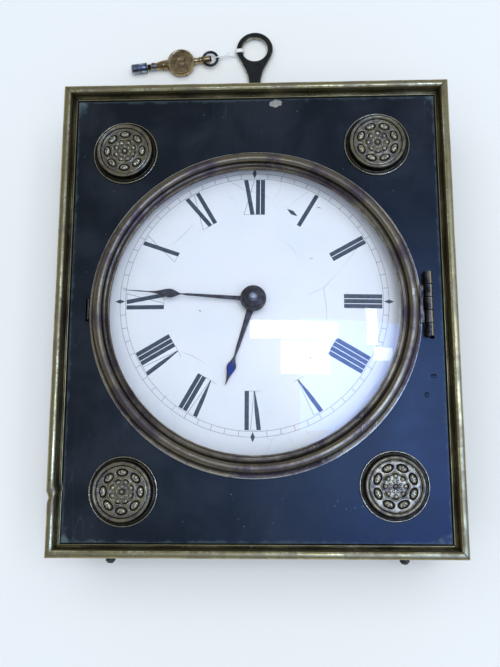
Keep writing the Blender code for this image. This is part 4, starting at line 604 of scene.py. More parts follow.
# Clear glass that lets the lamps through to what lies behind it, smeared here and there
def clearGlass(look):
    material, shader, where = newMaterial("clearGlass")
    smear = rangeOf(noiseOf(where, *look["smears"]), *look["smearRange"])
    feed(shader, {"Base Color": colour(look["tint"]), "Transmission Weight": 1.0, "IOR": look["refraction"],
                  "Roughness": smear})
    clear = nodeIn(shader, "BsdfTransparent", {"Color": colour(look["lampTint"])})
    lampRay = nodeIn(shader, "LightPath").outputs["Is Shadow Ray"]
    mixed = nodeIn(shader, "MixShader", {0: lampRay, 1: shader.outputs[0], 2: clear.outputs[0]})
    feed(material.node_tree.nodes["Material Output"], {"Surface": mixed.outputs[0]})
    return material


cottonLook = {"fibres": (6000.0, 3.0, 0.6), "fibreBand": (0.3, 0.7), "shade": (0.60, 0.66, 0.74),
              "pale": (0.90, 0.93, 0.96), "roughness": 0.85, "bump": (0.6, 0.00008)}


# Cotton: fine fibres along the thread, pale with a bluish shade
def cottonThread(look):
    material, shader, where = newMaterial("cottonThread")
    fibres = noiseOf(where, *look["fibres"])
    tone = mixOf(rangeOf(fibres, *look["fibreBand"]), colour(look["shade"]), colour(look["pale"]))
    feed(shader, {"Base Color": tone, "Roughness": look["roughness"]})
    bumpTo(shader, fibres, *look["bump"])
    return material


finishes.update(blackJapan=blackJapan(japanLook), stainedWood=stainedWood(woodLook),
                clearGlass=clearGlass(clearLook), whiteEnamel=whiteEnamel(enamelLook),
                cottonThread=cottonThread(cottonLook))
for name, tones in inkTones.items():
    finishes[name] = dialInk(name, *tones, inkLook)
print("materials made")


# Thread between the hanging loop and the key ring
threadLook = {"radius": 0.00025, "length": 0.0355, "loopMiddle": (-0.0010, 0.1256), "loopHole": 0.0057,
              "limbWidth": 0.0024, "limbHalfThick": 0.0010, "limbAngle": 188.0, "limbSquare": 0.6,
              "keyTip": (-0.0559, 0.1171), "keyAngle": 7.3, "ringAt": 0.0353, "ringRadius": 0.0032,
              "ringWire": 0.0006, "midZ": 0.0020, "keyZ": 0.0024, "wraps": 1.25, "step": 0.0009,
              "clear": 0.00055, "routeSlack": 0.00015, "steps": 14, "sides": 12, "plyPitch": 0.0011,
              "plyDepth": 0.14, "lumpTurns": 4, "lumpStep": 0.00042, "lumpTight": 0.0001}


# Turns round the limb of the loop: limb + outward wide cos a + side step, height + tall sin a, squared off
def limbTurns(look, angle, side, steps, wide, tall):
    outward, limb = limbOf(look)
    plan = (limb + outward * (wide * squarish(np.cos(angle), look["limbSquare"]))[:, None]
            + side * steps[:, None])
    return np.column_stack([plan, look["midZ"] + tall * squarish(np.sin(angle), look["limbSquare"])])


# The way outwards from the loop's middle, and the middle of the limb that the thread goes round
def limbOf(look):
    outward = toward(math.radians(look["limbAngle"]))
    return outward, look["loopMiddle"] + outward * (look["loopHole"] + look["limbWidth"] / 2)


# The route of the CAD thread: round the limb, out to the key ring, round its wire and back
def threadRoute(look):
    limb = limbOf(look)[1]
    ring = look["keyTip"] + toward(math.radians(look["keyAngle"])) * (look["ringAt"] + look["ringRadius"])
    span = np.linalg.norm(ring - limb)
    line = (ring - limb) / span
    side = np.array([-line[1], line[0]])
    clear, step, midZ, keyZ = look["clear"], look["step"], look["midZ"], look["keyZ"]
    wide, tall = look["limbWidth"] / 2 + clear + look["routeSlack"], look["limbHalfThick"] + clear
    around = look["ringWire"] + clear
    wrapPart = np.arange(int(look["wraps"] * 16) + 1) / 16
    angle = fullTurn * (1 - look["wraps"] % 1) - math.pi / 2 + fullTurn * wrapPart
    route = limbTurns(look, angle, side, step * (wrapPart - look["wraps"] / 2), wide, tall).tolist()
    ahead = [(wide + clear, step * 0.6, midZ - tall * 0.8), (span * 0.55, step * 0.6, keyZ)]
    ahead += [(span + around * math.cos(turn), step * 0.3 * math.sin(turn), keyZ + around * math.sin(turn))
              for turn in np.radians((120, 90, 60, 30, 0, -30, -60, -90, -130))]
    ahead += [(span * 0.60, -step * 0.9, keyZ - around * 0.6),
              (wide + 4 * clear, -step * 1.3, keyZ - around * 0.3)]
    return np.array(route + [[*(limb + line * reach + side * aside), height]
                             for reach, aside, height in ahead])


# Two-ply thread, radius r (1 - d + d |cos(a - twist s / 2)|), and the turns that are wound round the limb
def addThread(look):
    route = threadRoute(look)
    fine = np.linspace(0, len(route) - 1, (len(route) - 1) * look["steps"] + 1)
    smooth = np.stack([throughPoints(fine, np.arange(len(route)), route[:, axis]) for axis in range(3)],
                      axis=1)

    def plies(along, angle):
        bulge = np.abs(np.cos(angle - math.pi / look["plyPitch"] * along))
        return look["radius"] * (1 - look["plyDepth"] + look["plyDepth"] * bulge)
    thread = makePiece("threadTwisted", [tube(smooth, plies, look["sides"])], "key", "cottonThread",
                       ["key_thread"], 80.0)
    wrapPlace = np.linspace(0, look["lumpTurns"] * fullTurn, look["lumpTurns"] * 24)
    snug = look["clear"] - look["lumpTight"]
    outward = limbOf(look)[0]
    lump = limbTurns(look, wrapPlace, np.array([-outward[1], outward[0]]),
                     look["lumpStep"] * (wrapPlace / fullTurn - look["lumpTurns"] / 2),
                     look["limbWidth"] / 2 + snug, look["limbHalfThick"] + snug)
    makePiece("thread_wraps", [tube(lump, plies, look["sides"])], "key", "cottonThread",
              sharpDegrees=80.0)


addThread(threadLook)
print("thread laid")


# Brass edging of the front
edgingLook = {"width": 0.0046, "rise": 0.0087, "leg": 0.0012, "legDrop": 0.0040, "legEdge": 0.0001,
              "beadShare": 0.67, "footShare": 0.74, "fullness": 0.68, "beadPoints": 22, "grooveSink": 0.0006,
              "grooveAt": (0.00004, 0.00018), "coveGap": 0.00026, "coveTop": 0.70, "coveFoot": 0.53,
              "covePoints": 12, "filletTop": 0.50, "filletShare": 0.10, "filletSink": 0.00010,
              "filletRise": 0.00022, "filletPoints": 7, "crestLine": 0.66, "crestWidth": 0.13,
              "seam": 0.00015, "stations": 150, "waver": 0.00005, "pitches": (2.0, 5.0, 11.0, 23.0),
              "pitchScale": 3.1, "dentAt": 0.0690, "dentWidth": 0.006, "dentDeep": 0.0008, "dentStep": 0.0003,
              "upperBand": (0.002, 0.006), "wearWave": 0.12, "wearPitch": 7, "phaseSpan": 6.28,
              "legWear": 0.1, "beadWear": 0.24, "crestWear": 0.42, "grooveWear": -1.0,
              "coveWear": (-0.45, -0.8), "filletWear": 0.15, "seed": 11}


# Section of the edging as (inward, rise, wear): leg, bead, dark groove, cove and fillet
def edgingSection(look):
    width, rise = look["width"], look["rise"]
    beadWidth, foot = look["beadShare"] * width, look["footShare"] * rise
    edge, drop = look["legEdge"], look["legDrop"]
    turn = np.linspace(math.pi, 0, look["beadPoints"])
    bead = np.stack([beadWidth / 2 * (1 + squarish(np.cos(turn), look["fullness"])),
                     foot + (rise - foot) * np.sin(turn) ** look["fullness"]], axis=-1)
    coveStart, coveEnd = beadWidth + look["coveGap"], width * (1 - look["filletShare"])
    angle = np.linspace(0, math.pi / 2, look["covePoints"])
    cove = np.stack([coveStart + (coveEnd - coveStart) * (1 - np.cos(angle)),
                     rise * (look["coveTop"] - (look["coveTop"] - look["coveFoot"]) * np.sin(angle))],
                    axis=-1)
    fillet = arcPoints(((coveEnd + width) / 2, look["filletTop"] * rise - look["filletSink"]),
                       (width - coveEnd) / 2, look["filletRise"], 180, 0, look["filletPoints"])
    leg = np.array([(look["leg"], 0), (look["leg"], edge - drop), (look["leg"] - edge, -drop), (edge, -drop),
                    (0, edge - drop)])
    groove = np.array([(beadWidth + at, foot - look["grooveSink"]) for at in look["grooveAt"]])
    section = np.concatenate([leg, bead, groove, cove, fillet, [(width, 0)]])
    crest = np.exp(-((np.linspace(0, 1, len(bead)) - look["crestLine"]) / look["crestWidth"]) ** 2)
    wear = np.concatenate([np.full(len(leg), look["legWear"]), look["beadWear"] + look["crestWear"] * crest,
                           np.full(len(groove), look["grooveWear"]),
                           np.linspace(*look["coveWear"], len(cove)),
                           np.full(len(fillet), look["filletWear"]), look["coveWear"][1:]])
    return section, wear


# One rail: the section carried along its side, its ends cut at 45 degrees, wavering a little by a sum of
# sines as old strip does; the left rail has a dent
def addRail(name, length, halfAcross, turn, number, look):
    section, wear = edgingSection(look)
    inward, rise = section[:, 0][None, :], section[:, 1][None, :]
    share = np.linspace(0, 1, look["stations"])[:, None]
    along = (inward + look["seam"]) * (1 - share) + (length - inward - look["seam"]) * share
    phases = np.random.default_rng(look["seed"] + number).uniform(0, look["phaseSpan"], 4)
    waver = sum(np.sin(pitch * share * look["pitchScale"] + phase) / (1 + order) for order, (pitch, phase)
                in enumerate(zip(look["pitches"], phases))) * look["waver"] * np.sin(math.pi * share) ** 0.5
    upper = ease(rise, *look["upperBand"])
    dip = np.zeros_like(share)
    if name == "edging_left":
        dent = 1 - (length / 2 - look["dentAt"]) / length
        dip = (np.exp(-((share - dent) / look["dentWidth"]) ** 2) * look["dentDeep"]
               + look["dentStep"] * ease(share, dent, dent + 0.01))
    flat = np.stack([along - length / 2, inward + (0.5 * np.abs(waver) + dip) * upper - halfAcross], axis=-1)
    height = rise - (np.abs(waver) + dip) * upper + caseLook["seatZ"]
    wearTurn = look["pitches"][1] * share * look["wearPitch"] + phases[0]
    uneven = wear[None, :] + look["wearWave"] * np.sin(wearTurn)
    makePiece("moulded_" + name, [shell(np.concatenate([turnedBy(flat, turn), height[..., None]], axis=-1),
                                        caps=True, wear=uneven)], "case", "agedBrass", [name],
              35.0)


for number, (side, length, across, turn) in enumerate((("bottom", "width", "height", 0.0),
                                                       ("right", "height", "width", math.pi / 2),
                                                       ("top", "width", "height", math.pi),
                                                       ("left", "height", "width", -math.pi / 2))):
    addRail("edging_" + side, caseLook[length], caseLook[across] / 2, turn, number, edgingLook)


# Bezel, glass and dial
bezelLook = {"steps": 300, "flangeRadius": 0.0625, "flangeLow": 0.0353, "flangeTop": 0.0361,
             "beadMiddle": 0.0586, "beadHalf": 0.0021, "beadCentreZ": 0.0380, "beadRise": 0.0034,
             "beadArc": (-28, 155), "coveZ": 0.0405, "coveSink": 0.00035, "coveHollow": 0.00045,
             "lipOuter": 0.0545, "lipInner": 0.0540, "lipTop": 0.0408, "seatRadius": 0.0556, "seatZ": 0.0402,
             "spigotRadius": 0.0579, "spigotLow": 0.0338, "fullness": 0.78,
             "flangeSteps": ((0.00010, 0.00008, 0.9), (0.00022, 0.0, 1.0), (0.00045, 0.00002, 0.2),
                             (0.00080, 0.00006, -0.4), (0.00160, 0.00012, -0.7)),
             "beadWear": (-0.15, 0.42, 0.15), "coveWear": (-0.45, 0.2), "lipEdge": 0.0002, "lipWear": 0.35,
             "wearWaves": ((0.12, 3, 1.0), (0.08, 11, 0.0)), "footEdge": 0.0001, "topEdge": 0.00025,
             "coveFrom": 0.04, "coveGaps": (0.00008, 0.00005)}


# Profile of the bezel as (radius, height, wear): flange, groove, bead, cove, lip, glass seat and spigot; the
# glass seat's low values are painted shade
def bezelProfile(look):
    edge, low, top = look["flangeRadius"], look["flangeLow"], look["flangeTop"]
    flange = [(edge, low + look["footEdge"], 0.0), (edge, top - look["topEdge"], 0.4)]
    flange += [(edge - inward, top - down, wear) for inward, down, wear in look["flangeSteps"]]
    angle = np.radians(np.linspace(*look["beadArc"], 30))
    lowWear, crestWear, lean = look["beadWear"]
    bead = np.column_stack([look["beadMiddle"] + look["beadHalf"] * squarish(np.cos(angle), look["fullness"]),
                            look["beadCentreZ"]
                            + look["beadRise"] * squarish(np.sin(angle), look["fullness"]),
                            lowWear + crestWear * np.clip(np.sin(angle + lean), 0, 1) ** 2])
    share = np.linspace(look["coveFrom"], 1, 12)
    atBead, atLip = look["coveGaps"]
    coveStart, coveEnd = look["beadMiddle"] - look["beadHalf"] + atBead, look["lipOuter"] + atLip
    bottom = look["coveHollow"] * (share ** 3 - np.sin(math.pi * share))
    cove = np.column_stack([coveStart + (coveEnd - coveStart) * share,
                            look["coveZ"] - look["coveSink"] + bottom,
                            look["coveWear"][0] + look["coveWear"][1] * share])
    outer, inner = look["lipOuter"], look["lipInner"]
    lip = arcPoints(((outer + inner) / 2, look["lipTop"] - look["lipEdge"]), (outer - inner) / 2,
                    look["lipEdge"], 0, 180, 8)
    lip = np.column_stack([lip, np.full(len(lip), look["lipWear"])])
    seat, spigot = look["seatRadius"], look["spigotRadius"]
    # The glass seat and the wall under it are coloured darker: painted shade under the glass rim
    inside = [(inner, look["seatZ"], -0.3), (seat, look["seatZ"], -0.6), (seat, look["spigotLow"], -0.6),
              (spigot, look["spigotLow"], 0.0), (spigot, low, 0.1), (edge - look["footEdge"], low, 0.3)]
    return np.concatenate([flange, bead, cove, lip, inside])


# The bezel turned from its profile, worn a little unevenly round
def addBezel(look):
    profile = bezelProfile(look)
    angle = turnAngles(look["steps"])
    wear = profile[:, 2:3] + sum(size * np.sin(pitch * angle + phase)
                                 for size, pitch, phase in look["wearWaves"])
    makePiece("bezel_turned", [turned(profile[:, :2], look["steps"], wear)], "bezel_door", "bezelBrass",
              ["bezel"], 50.0)


glassLook = {"radius": 0.0553, "rimWidth": 0.0015, "rimZ": 0.0399, "rise": 0.0056, "thickness": 0.0012,
             "rings": 60, "edge": 0.0004, "steps": 160, "ringInner": 0.0542, "ringTop": 0.0384,
             "ringLow": 0.0374}


# Watch glass: height = rim + rise (1 - (r / R)^2), the same curve again under it, with a rounded edge
def addGlass(look):
    outer, half, inner = look["radius"], look["thickness"] / 2, look["ringInner"]
    radius = np.linspace(0, outer - look["rimWidth"], look["rings"])
    height = look["rimZ"] + look["rise"] * (1 - (radius / radius[-1]) ** 2)
    edge = arcPoints((outer - look["edge"], look["rimZ"] - half), look["edge"], half, 90, -90, 9)
    profile = np.concatenate([np.column_stack([radius, height]), edge,
                              np.column_stack([radius, height - look["thickness"]])[::-1]])
    makePiece("watch_glass", [turned(profile, look["steps"], ring=False)], "bezel_door", "clearGlass",
              ["glass"], 60.0)
    section = arcPoints(((outer + inner) / 2, (look["ringTop"] + look["ringLow"]) / 2), (outer - inner) / 2,
                        (look["ringTop"] - look["ringLow"]) / 2, 0, 337.5, 16)
    makePiece("glass_retainer", [turned(section, look["steps"], 0.3)], "bezel_door", "bezelBrass",
              ["glass_ring"])


dialLook = {"radius": 0.0605, "rimZ": 0.030507, "rise": 0.0026, "thickness": 0.0011, "hole": 0.0029,
            "rings": 70, "steps": 180, "holeEdge": 0.00015, "rimEdge": 0.00030}


# Height of the dial: rim + rise (1 - (r / R)^2)
def dialHeight(points):
    away = np.sum((points - dialCentre) ** 2, axis=-1) / dialLook["radius"] ** 2
    return dialLook["rimZ"] + dialLook["rise"] * (1 - away)


# The domed enamel, turned with its hole and its edges eased
def addDial(look):
    radius = np.linspace(look["hole"], look["radius"], look["rings"])
    top = np.column_stack([radius, look["rimZ"] + look["rise"] * (1 - (radius / look["radius"]) ** 2)])
    under = top[::-1] - (0, look["thickness"])
    top[0, 1] -= look["holeEdge"]
    top[-1, 1] -= look["rimEdge"]
    makePiece("enamel_dial", [turned(np.concatenate([top, under]), look["steps"], centre=dialCentre)], "case",
              "whiteEnamel", ["dial"], 50.0)


addBezel(bezelLook)
addGlass(glassLook)
addDial(dialLook)
print("bezel, glass and dial made")


# A line of ink on the domed dial: a thin closed band along points, with a width at each
def inkBand(points, widths, closed=False, lift=0.00003):
    ahead = np.roll(points, -1, 0) - np.roll(points, 1, 0) if closed else np.gradient(points, axis=0)
    ahead = ahead / np.linalg.norm(ahead, axis=1)[:, None]
    half = np.broadcast_to(widths, len(points))[:, None] / 2
    side = np.stack([-ahead[:, 1], ahead[:, 0]], axis=-1) * half
    left, right = points + side, points - side
    rows = [np.column_stack([edge, dialHeight(edge) + up])
            for edge, up in ((left, lift), (right, lift), (right, -lift), (left, -lift))]
    return shell(np.stack(rows, axis=1), closed, not closed)


# All printing on the dial is enamel that rides on the case
def printOn(name, bands, finish):
    makePiece(name, bands, "case", finish, sharpDegrees=30.0)


# Points from a start to an end in even steps
def straight(start, end, count=8):
    share = np.linspace(0, 1, count)[:, None]
    return np.asarray(start) * (1 - share) + np.asarray(end) * share


numeralLook = {"inner": 0.0342, "height": 0.0144, "stroke": 0.00161, "gap": 0.00029, "hair": 0.00013,
               "serif": 0.00010, "fiveWidth": 0.0040, "tenWidth": 0.0042, "space": 0.0005, "twist": -0.45,
               "apex": (0.62, 0.66), "apexShare": 0.20, "taperBand": (-0.25, 0.65)}
romans = ("XII", "I", "II", "III", "IIII", "V", "VI", "VII", "VIII", "IX", "X", "XI")


# Strokes of a Roman numeral as (start across, start up, end across, end up, width); a width under zero tapers
def numeralStrokes(numeral, look):
    strokes, across = [], 0.0
    widths = {"I": look["stroke"], "V": look["fiveWidth"], "X": look["tenWidth"]}
    thick, hair, tall = look["stroke"], look["hair"], look["height"]
    for place, letter in enumerate(numeral):
        wide = widths[letter]
        left, right = across + thick / 2, across + wide - hair
        if letter == "I":
            strokes.append((left, 0, left, tall, thick))
        elif letter == "V":
            heavy, light = (across + wide * share for share in look["apex"])
            strokes += [(heavy, 0, left, tall, -thick), (light, 0, right, tall, hair)]
        else:
            strokes += [(across + wide - thick / 2, 0, left, tall, thick),
                        (across + hair, 0, right, tall, hair)]
        following = numeral[place + 1:place + 2]
        across += wide + (look["gap"] if letter + following == "II" else look["space"])
    total = across - look["space"]
    return strokes + [(0.0, up, total, up, look["serif"]) for up in (0.0, tall)], total


# Numerals stand on a ring with their tops outwards: place = centre + (inner + up) outward + across clockwise
def addNumerals(look):
    bands = []
    for hour, numeral in enumerate(romans):
        outward = toward(math.pi / 2 - hour * math.pi / 6 + math.radians(look["twist"]))
        clockwise = np.array([outward[1], -outward[0]])
        strokes, total = numeralStrokes(numeral, look)
        for startAcross, startUp, endAcross, endUp, width in strokes:
            start, end = (dialCentre + outward * (look["inner"] + up) + clockwise * (across - total / 2)
                          for across, up in ((startAcross, startUp), (endAcross, endUp)))
            taper = ease(np.linspace(0, 1, 8), *look["taperBand"]) if width < 0 else np.ones(8)
            bands.append(inkBand(straight(start, end), abs(width) * np.maximum(taper, look["apexShare"])))
    printOn("dial_numerals", bands, "numeralInk")


trackLook = {"outer": 0.0512, "inner": 0.0491, "line": 0.00011, "strokeTimes": 1.15, "diamondLong": 0.0019,
             "diamondWide": 0.0016, "diamondPeak": 1.02, "diamondLift": 0.00004, "twist": -0.45}


# Minute track: two circles, sixty strokes between them and a diamond at each quarter
def addTrack(look):
    inner, outer, reach = look["inner"], look["outer"], look["diamondLong"]
    circle = toward(turnAngles(360))
    bands = [inkBand(dialCentre + circle * radius, look["line"], True) for radius in (outer, inner)]
    for minute in range(60):
        direction = toward(minute * math.pi / 30 + math.radians(look["twist"]))
        bands.append(inkBand(straight(dialCentre + direction * inner, dialCentre + direction * outer, 4),
                             look["line"] * look["strokeTimes"]))
        if minute % 15 == 0:
            diamond = straight(dialCentre + direction * (outer - reach),
                               dialCentre + direction * (outer + reach), 9)
            bands.append(inkBand(diamond, look["diamondWide"] * tent(9, look["diamondPeak"]),
                                 lift=look["diamondLift"]))
    printOn("dial_minute_track", bands, "numeralInk")


crackLook = {"seed": 5, "width": 0.00015, "leastWidth": 0.00002, "peak": 1.05, "chipPeak": 1.03,
             "shake": 0.00008, "lift": 0.00001, "paths": (
    ((0.0341, 0.0175), (0.0292, 0.0123), (0.0260, 0.0088), (0.0270, 0.0019), (0.0270, -0.0031),
     (0.0262, -0.0120)),
    ((0.0260, 0.0088), (0.0200, 0.0060)),
    ((0.0341, 0.0175), (0.0400, 0.0262), (0.0425, 0.0330)),
    ((-0.0326, 0.0260), (-0.0280, 0.0300), (-0.0235, 0.0350)),
    ((-0.0288, -0.0150), (-0.0236, -0.0168), (-0.0183, -0.0201))),
    "chips": (((0.0125, 0.0404), (0.0164, 0.0374), 0.0017), ((0.0204, -0.0170), (0.0208, -0.0184), 0.0007),
              ((-0.0213, 0.0004), (-0.0203, 0.0001), 0.0004), ((0.0238, 0.0412), (0.0258, 0.0406), 0.0003),
              ((0.0001, 0.0553), (0.0003, 0.0561), 0.0008))}


# Hair cracks along shaken lines through their corners, and chips as short bands that taper to both ends
def addCracks(look):
    random = np.random.default_rng(look["seed"])
    cracks = []
    for path in look["paths"]:
        corners = np.array(path)
        fine = np.linspace(0, len(corners) - 1, 16 * (len(corners) - 1) + 1)
        line = np.stack([np.interp(fine, np.arange(len(corners)), corners[:, axis]) for axis in range(2)],
                        axis=-1)
        line += random.normal(0, look["shake"], line.shape)
        widths = look["width"] * tent(len(line), look["peak"]) + look["leastWidth"]
        cracks.append(inkBand(line, widths, lift=look["lift"]))
    printOn("dial_hair_cracks", cracks, "hairline")
    chips = [inkBand(straight(start, end), wide * tent(8, look["chipPeak"]), lift=look["lift"])
             for start, end, wide in look["chips"]]
    printOn("dial_chips", chips, "numeralInk")


addNumerals(numeralLook)
addTrack(trackLook)
addCracks(crackLook)
print("dial printed")


# Hands and collet
handLooks = {
    "hour_hand": {"length": 0.0338, "half": 0.0019, "lowZ": 0.034007, "angle": 90 - 197.9,
                  "body": "hour_train", "finish": "hourSteel",
                  "shape": ((0.06, 0.95), (0.16, 0.66), (0.30, 0.50), (0.55, 0.34), (0.69, 0.30),
                            (0.725, 0.50), (0.765, 0.86), (0.80, 0.90), (0.85, 0.62), (0.90, 0.34),
                            (0.95, 0.18), (1.0, 0.06))},
    "minute_hand": {"length": 0.0493, "half": 0.0017, "lowZ": 0.035507, "angle": 90 - 274.6,
                    "body": "minute_train", "finish": "handSteel",
                    "shape": ((0.04, 0.75), (0.12, 0.50), (0.25, 0.40), (0.50, 0.26), (0.570, 0.24),
                              (0.595, 0.62), (0.63, 0.98), (0.675, 0.86), (0.73, 0.40), (0.78, 0.17),
                              (0.88, 0.12), (1.0, 0.05))}}
handForm = {"hubRadius": 0.0042, "hubBore": 0.0016, "hubEdge": 0.0003, "thickness": 0.0007, "stations": 90,
            "sides": 16, "acrossPower": 0.7, "upPower": 0.6, "leastShare": 0.03, "edgeWear": 0.15,
            "crownWear": 0.25, "hubWear": 0.2}


# A hand: half width from its table along the reach, section a rounded lens, w cos a by t sin a, squared off
def addHand(name, look, form):
    halfThick = form["thickness"] / 2
    known, shares = np.array(look["shape"]).T
    reach = np.unique(np.concatenate([np.linspace(known[0], 1, form["stations"]), known]))
    half = np.maximum(throughPoints(reach, known, shares), form["leastShare"]) * look["half"]
    angle = turnAngles(form["sides"])
    across, up = squarish(np.cos(angle), form["acrossPower"]), squarish(np.sin(angle), form["upPower"])
    local = np.stack(np.broadcast_arrays((reach * look["length"])[:, None], half[:, None] * across,
                                         np.minimum(half, halfThick)[:, None] * up), axis=-1)
    ahead = [*toward(math.radians(look["angle"])), 0]
    axes = (np.array([*dialCentre, look["lowZ"] + halfThick]),
            np.array([ahead, [-ahead[1], ahead[0], 0], [0, 0, 1.0]]))
    blade = shell(placed(local, axes), caps=True,
                  wear=form["edgeWear"] + form["crownWear"] * np.clip(up, 0, 1))
    edge, bore = form["hubEdge"], form["hubBore"]
    rim = arcPoints((form["hubRadius"] - edge, halfThick), edge, halfThick, -90, 90, 7)
    profile = np.concatenate([[(bore, 0)], rim, [(bore, form["thickness"])]]) + (0, look["lowZ"])
    hub = turned(profile, 72, form["hubWear"], dialCentre)
    makePiece(name + "_blued", [blade, hub], look["body"], look["finish"], [name], 45.0)


# Collet: rows of the side are (radius, height over the foot, wear), of the face (radius, depth under the top,
# wear) and of the pin (radius, depth under its end)
colletLook = {"lowZ": 0.036507, "topZ": 0.0406, "pinTop": 0.0417, "pinWear": 1.0,
              "side": ((0.0012, 0.0, 0.0), (0.0046, 0.0, 0.1), (0.0049, 0.0003, 0.3), (0.0049, 0.0012, 0.35),
                       (0.00475, 0.0016, 0.45)),
              "face": ((0.0043, 0.0011, 0.3), (0.0037, 0.0005, 0.5), (0.0032, 0.00028, 0.2),
                       (0.00275, 0.00022, 0.3), (0.0026, 0.00034, 0.0), (0.0024, 0.00022, 0.3),
                       (0.0016, 0.00004, 0.35), (0.0013, 0.0, 0.9), (0.0012, 0.0001, 0.2)),
              "pin": ((0.0, 0.0), (0.00066, 0.00003), (0.001104, 0.0002), (0.001104, 0.0021), (0.0, 0.0021))}


# Collet of the hands: a turned button with a broad bevel, a shallow ring groove and the arbor in its bore
def addCollet(look):
    profile = np.concatenate([np.array(look["side"]) + (0, look["lowZ"], 0),
                              np.array(look["face"]) * (1, -1, 1) + (0, look["topZ"], 0)])
    pin = np.array(look["pin"]) * (1, -1) + (0, look["pinTop"])
    makePiece("collet_turned", [turned(profile[:, :2], 96, profile[:, 2:], dialCentre),
                                turned(pin, 32, look["pinWear"], dialCentre, ring=False)], "minute_train",
              "handSteel", ["hand_collet"], 25.0)


for name, look in handLooks.items():
    addHand(name, look, handForm)
addCollet(colletLook)
print("hands made")


# Corner rosettes: rows of the outline are (radius, height) in millimetres, bands are (from, to, wear)
rosetteLook = {"radius": 0.0126, "height": 0.0036, "baseZ": 0.0353, "across": 0.049, "up": 0.065,
               "shift": (-0.0002, -0.0009), "twist": 1.2, "fieldRadius": 0.0095, "fieldRings": 90,
               "rimRings": 30, "steps": 240, "bosses": 8, "bossRing": 0.0068, "bossHalf": (0.00190, 0.00122),
               "bossRise": 0.00105, "pitDeep": 0.00045, "ridge": 0.00010, "beadRing": 0.0036,
               "beadRadius": 0.00082, "beadRise": 0.00062, "pearlRing": 0.0019, "pearlRadius": 0.00045,
               "pearlRise": 0.00034, "webRing": 0.0046, "webWave": 0.00022, "webWidth": 0.00026,
               "webRise": 0.00034, "middleRadius": 0.00078, "middleRise": 0.00075, "wearOver": 0.00028,
               "edgeFall": 0.0001, "baseWear": 0.06, "pitBand": (1.0, 1.22), "fanFrom": 1.6, "fanRidges": 13,
               "ridgeBands": ((0.15, 0.5), (0.75, 0.95)), "bossReach": 0.96,
               "bands": ((0.00893, 0.0091, 0.9), (0.0091, 0.0095, -0.8), (0.0095, 0.0100, 0.25),
                         (0.0100, 0.0107, -0.1), (0.0107, 0.01225, -0.9), (0.01225, 0.0130, 0.85)),
               "outline": ((0.0, 2.35), (4.55, 2.35), (4.75, 2.62), (8.75, 2.62), (8.86, 2.82), (9.02, 2.86),
                           (9.16, 2.62), (9.28, 2.80), (9.55, 3.30), (9.95, 3.56), (10.25, 3.58),
                           (10.6, 3.35), (10.82, 2.85), (10.9, 2.0), (10.95, 0.9), (11.1, 0.62), (11.8, 0.52),
                           (12.1, 0.60), (12.35, 0.72), (12.52, 0.60), (12.6, 0.35))}


# Bump of a round button of the given reach and height, by the distance from its middle
def button(distance, reach, height):
    return height * np.sqrt(np.clip(1 - (distance / reach) ** 2, 0, 1))


# Height over the flange by radius and angle: flange, steep side, rim roll, wire, then a field of pits with
# shell bosses, a web between them, a ring of beads inside it, small pearls and a bead in the middle
def rosetteRelief(radius, angle, look):
    known, values = np.array(look["outline"]).T / 1000
    relief = np.interp(radius, known, values) + 0 * angle
    flat = radius[..., None] * toward(angle)
    halfAside, halfOut = look["bossHalf"]
    for index in range(look["bosses"]):
        turn = index * fullTurn / look["bosses"]
        local = turnedBy(flat, -turn)
        outward, aside = local[..., 0] - look["bossRing"], local[..., 1]
        oval = np.hypot(aside / halfAside, outward / halfOut)
        relief -= look["pitDeep"] * (1 - ease(oval, *look["pitBand"]))
        fan = np.arctan2(aside, outward + halfOut * look["fanFrom"])
        rising, falling = look["ridgeBands"]
        ridges = (look["ridge"] * np.cos(fan * look["fanRidges"]) * ease(oval, *rising)
                  * (1 - ease(oval, *falling)))
        relief += button(oval, look["bossReach"], look["bossRise"]) + ridges * (oval < look["bossReach"])
        for kind, at in (("bead", turn + math.pi / look["bosses"]), ("pearl", turn)):
            away = np.linalg.norm(flat - look[kind + "Ring"] * toward(at), axis=-1)
            relief += button(away, look[kind + "Radius"], look[kind + "Rise"])
    web = look["webRing"] + look["webWave"] * np.cos(look["bosses"] * angle + math.pi)
    relief += look["webRise"] * np.exp(-((radius - web) / look["webWidth"]) ** 2)
    relief += button(radius, look["middleRadius"], look["middleRise"])
    return np.minimum(relief, look["height"])


# A cast rosette: the relief laid over its disc, brighter where it stands over the mean of what is round it
def addRosette(name, sideX, sideY, halfStep, look):
    edge, steps, fall = look["radius"], look["steps"], look["edgeFall"]
    radius = np.concatenate([np.linspace(0, look["fieldRadius"], look["fieldRings"]),
                             np.linspace(look["fieldRadius"] + fall, edge, look["rimRings"])])
    angle = turnAngles(steps)
    relief = rosetteRelief(radius[:, None], angle[None, :], look)
    relief = np.concatenate([relief, np.full((1, steps), fall), np.zeros((2, steps))])
    radius = np.append(radius, [edge, edge - fall, 0.0])[:, None]
    middle = turnedBy((sideX * look["across"], sideY * look["up"]),
                      math.radians(look["twist"])) + look["shift"]
    flat = middle + radius[..., None] * toward(angle + halfStep * math.pi / look["bosses"] + math.pi / 2)
    around = sum(np.roll(relief, shift, 1) for shift in (-4, 0, 4)) / 3
    padded = np.pad(around, ((5, 5), (0, 0)), mode='edge')
    smoothed = (padded[:-10] + padded[5:-5] + padded[10:]) / 3
    wear = look["baseWear"] + (relief - smoothed) / look["wearOver"]
    for start, end, value in look["bands"]:
        wear = np.where((radius >= start) & (radius < end), value, wear)
    points = np.concatenate([flat, (look["baseZ"] + relief)[..., None]], axis=-1)
    makePiece("cast_" + name, [shell(points, wear=np.clip(wear, -1, 1))], "case", "rosetteBrass",
              [name], 60.0)


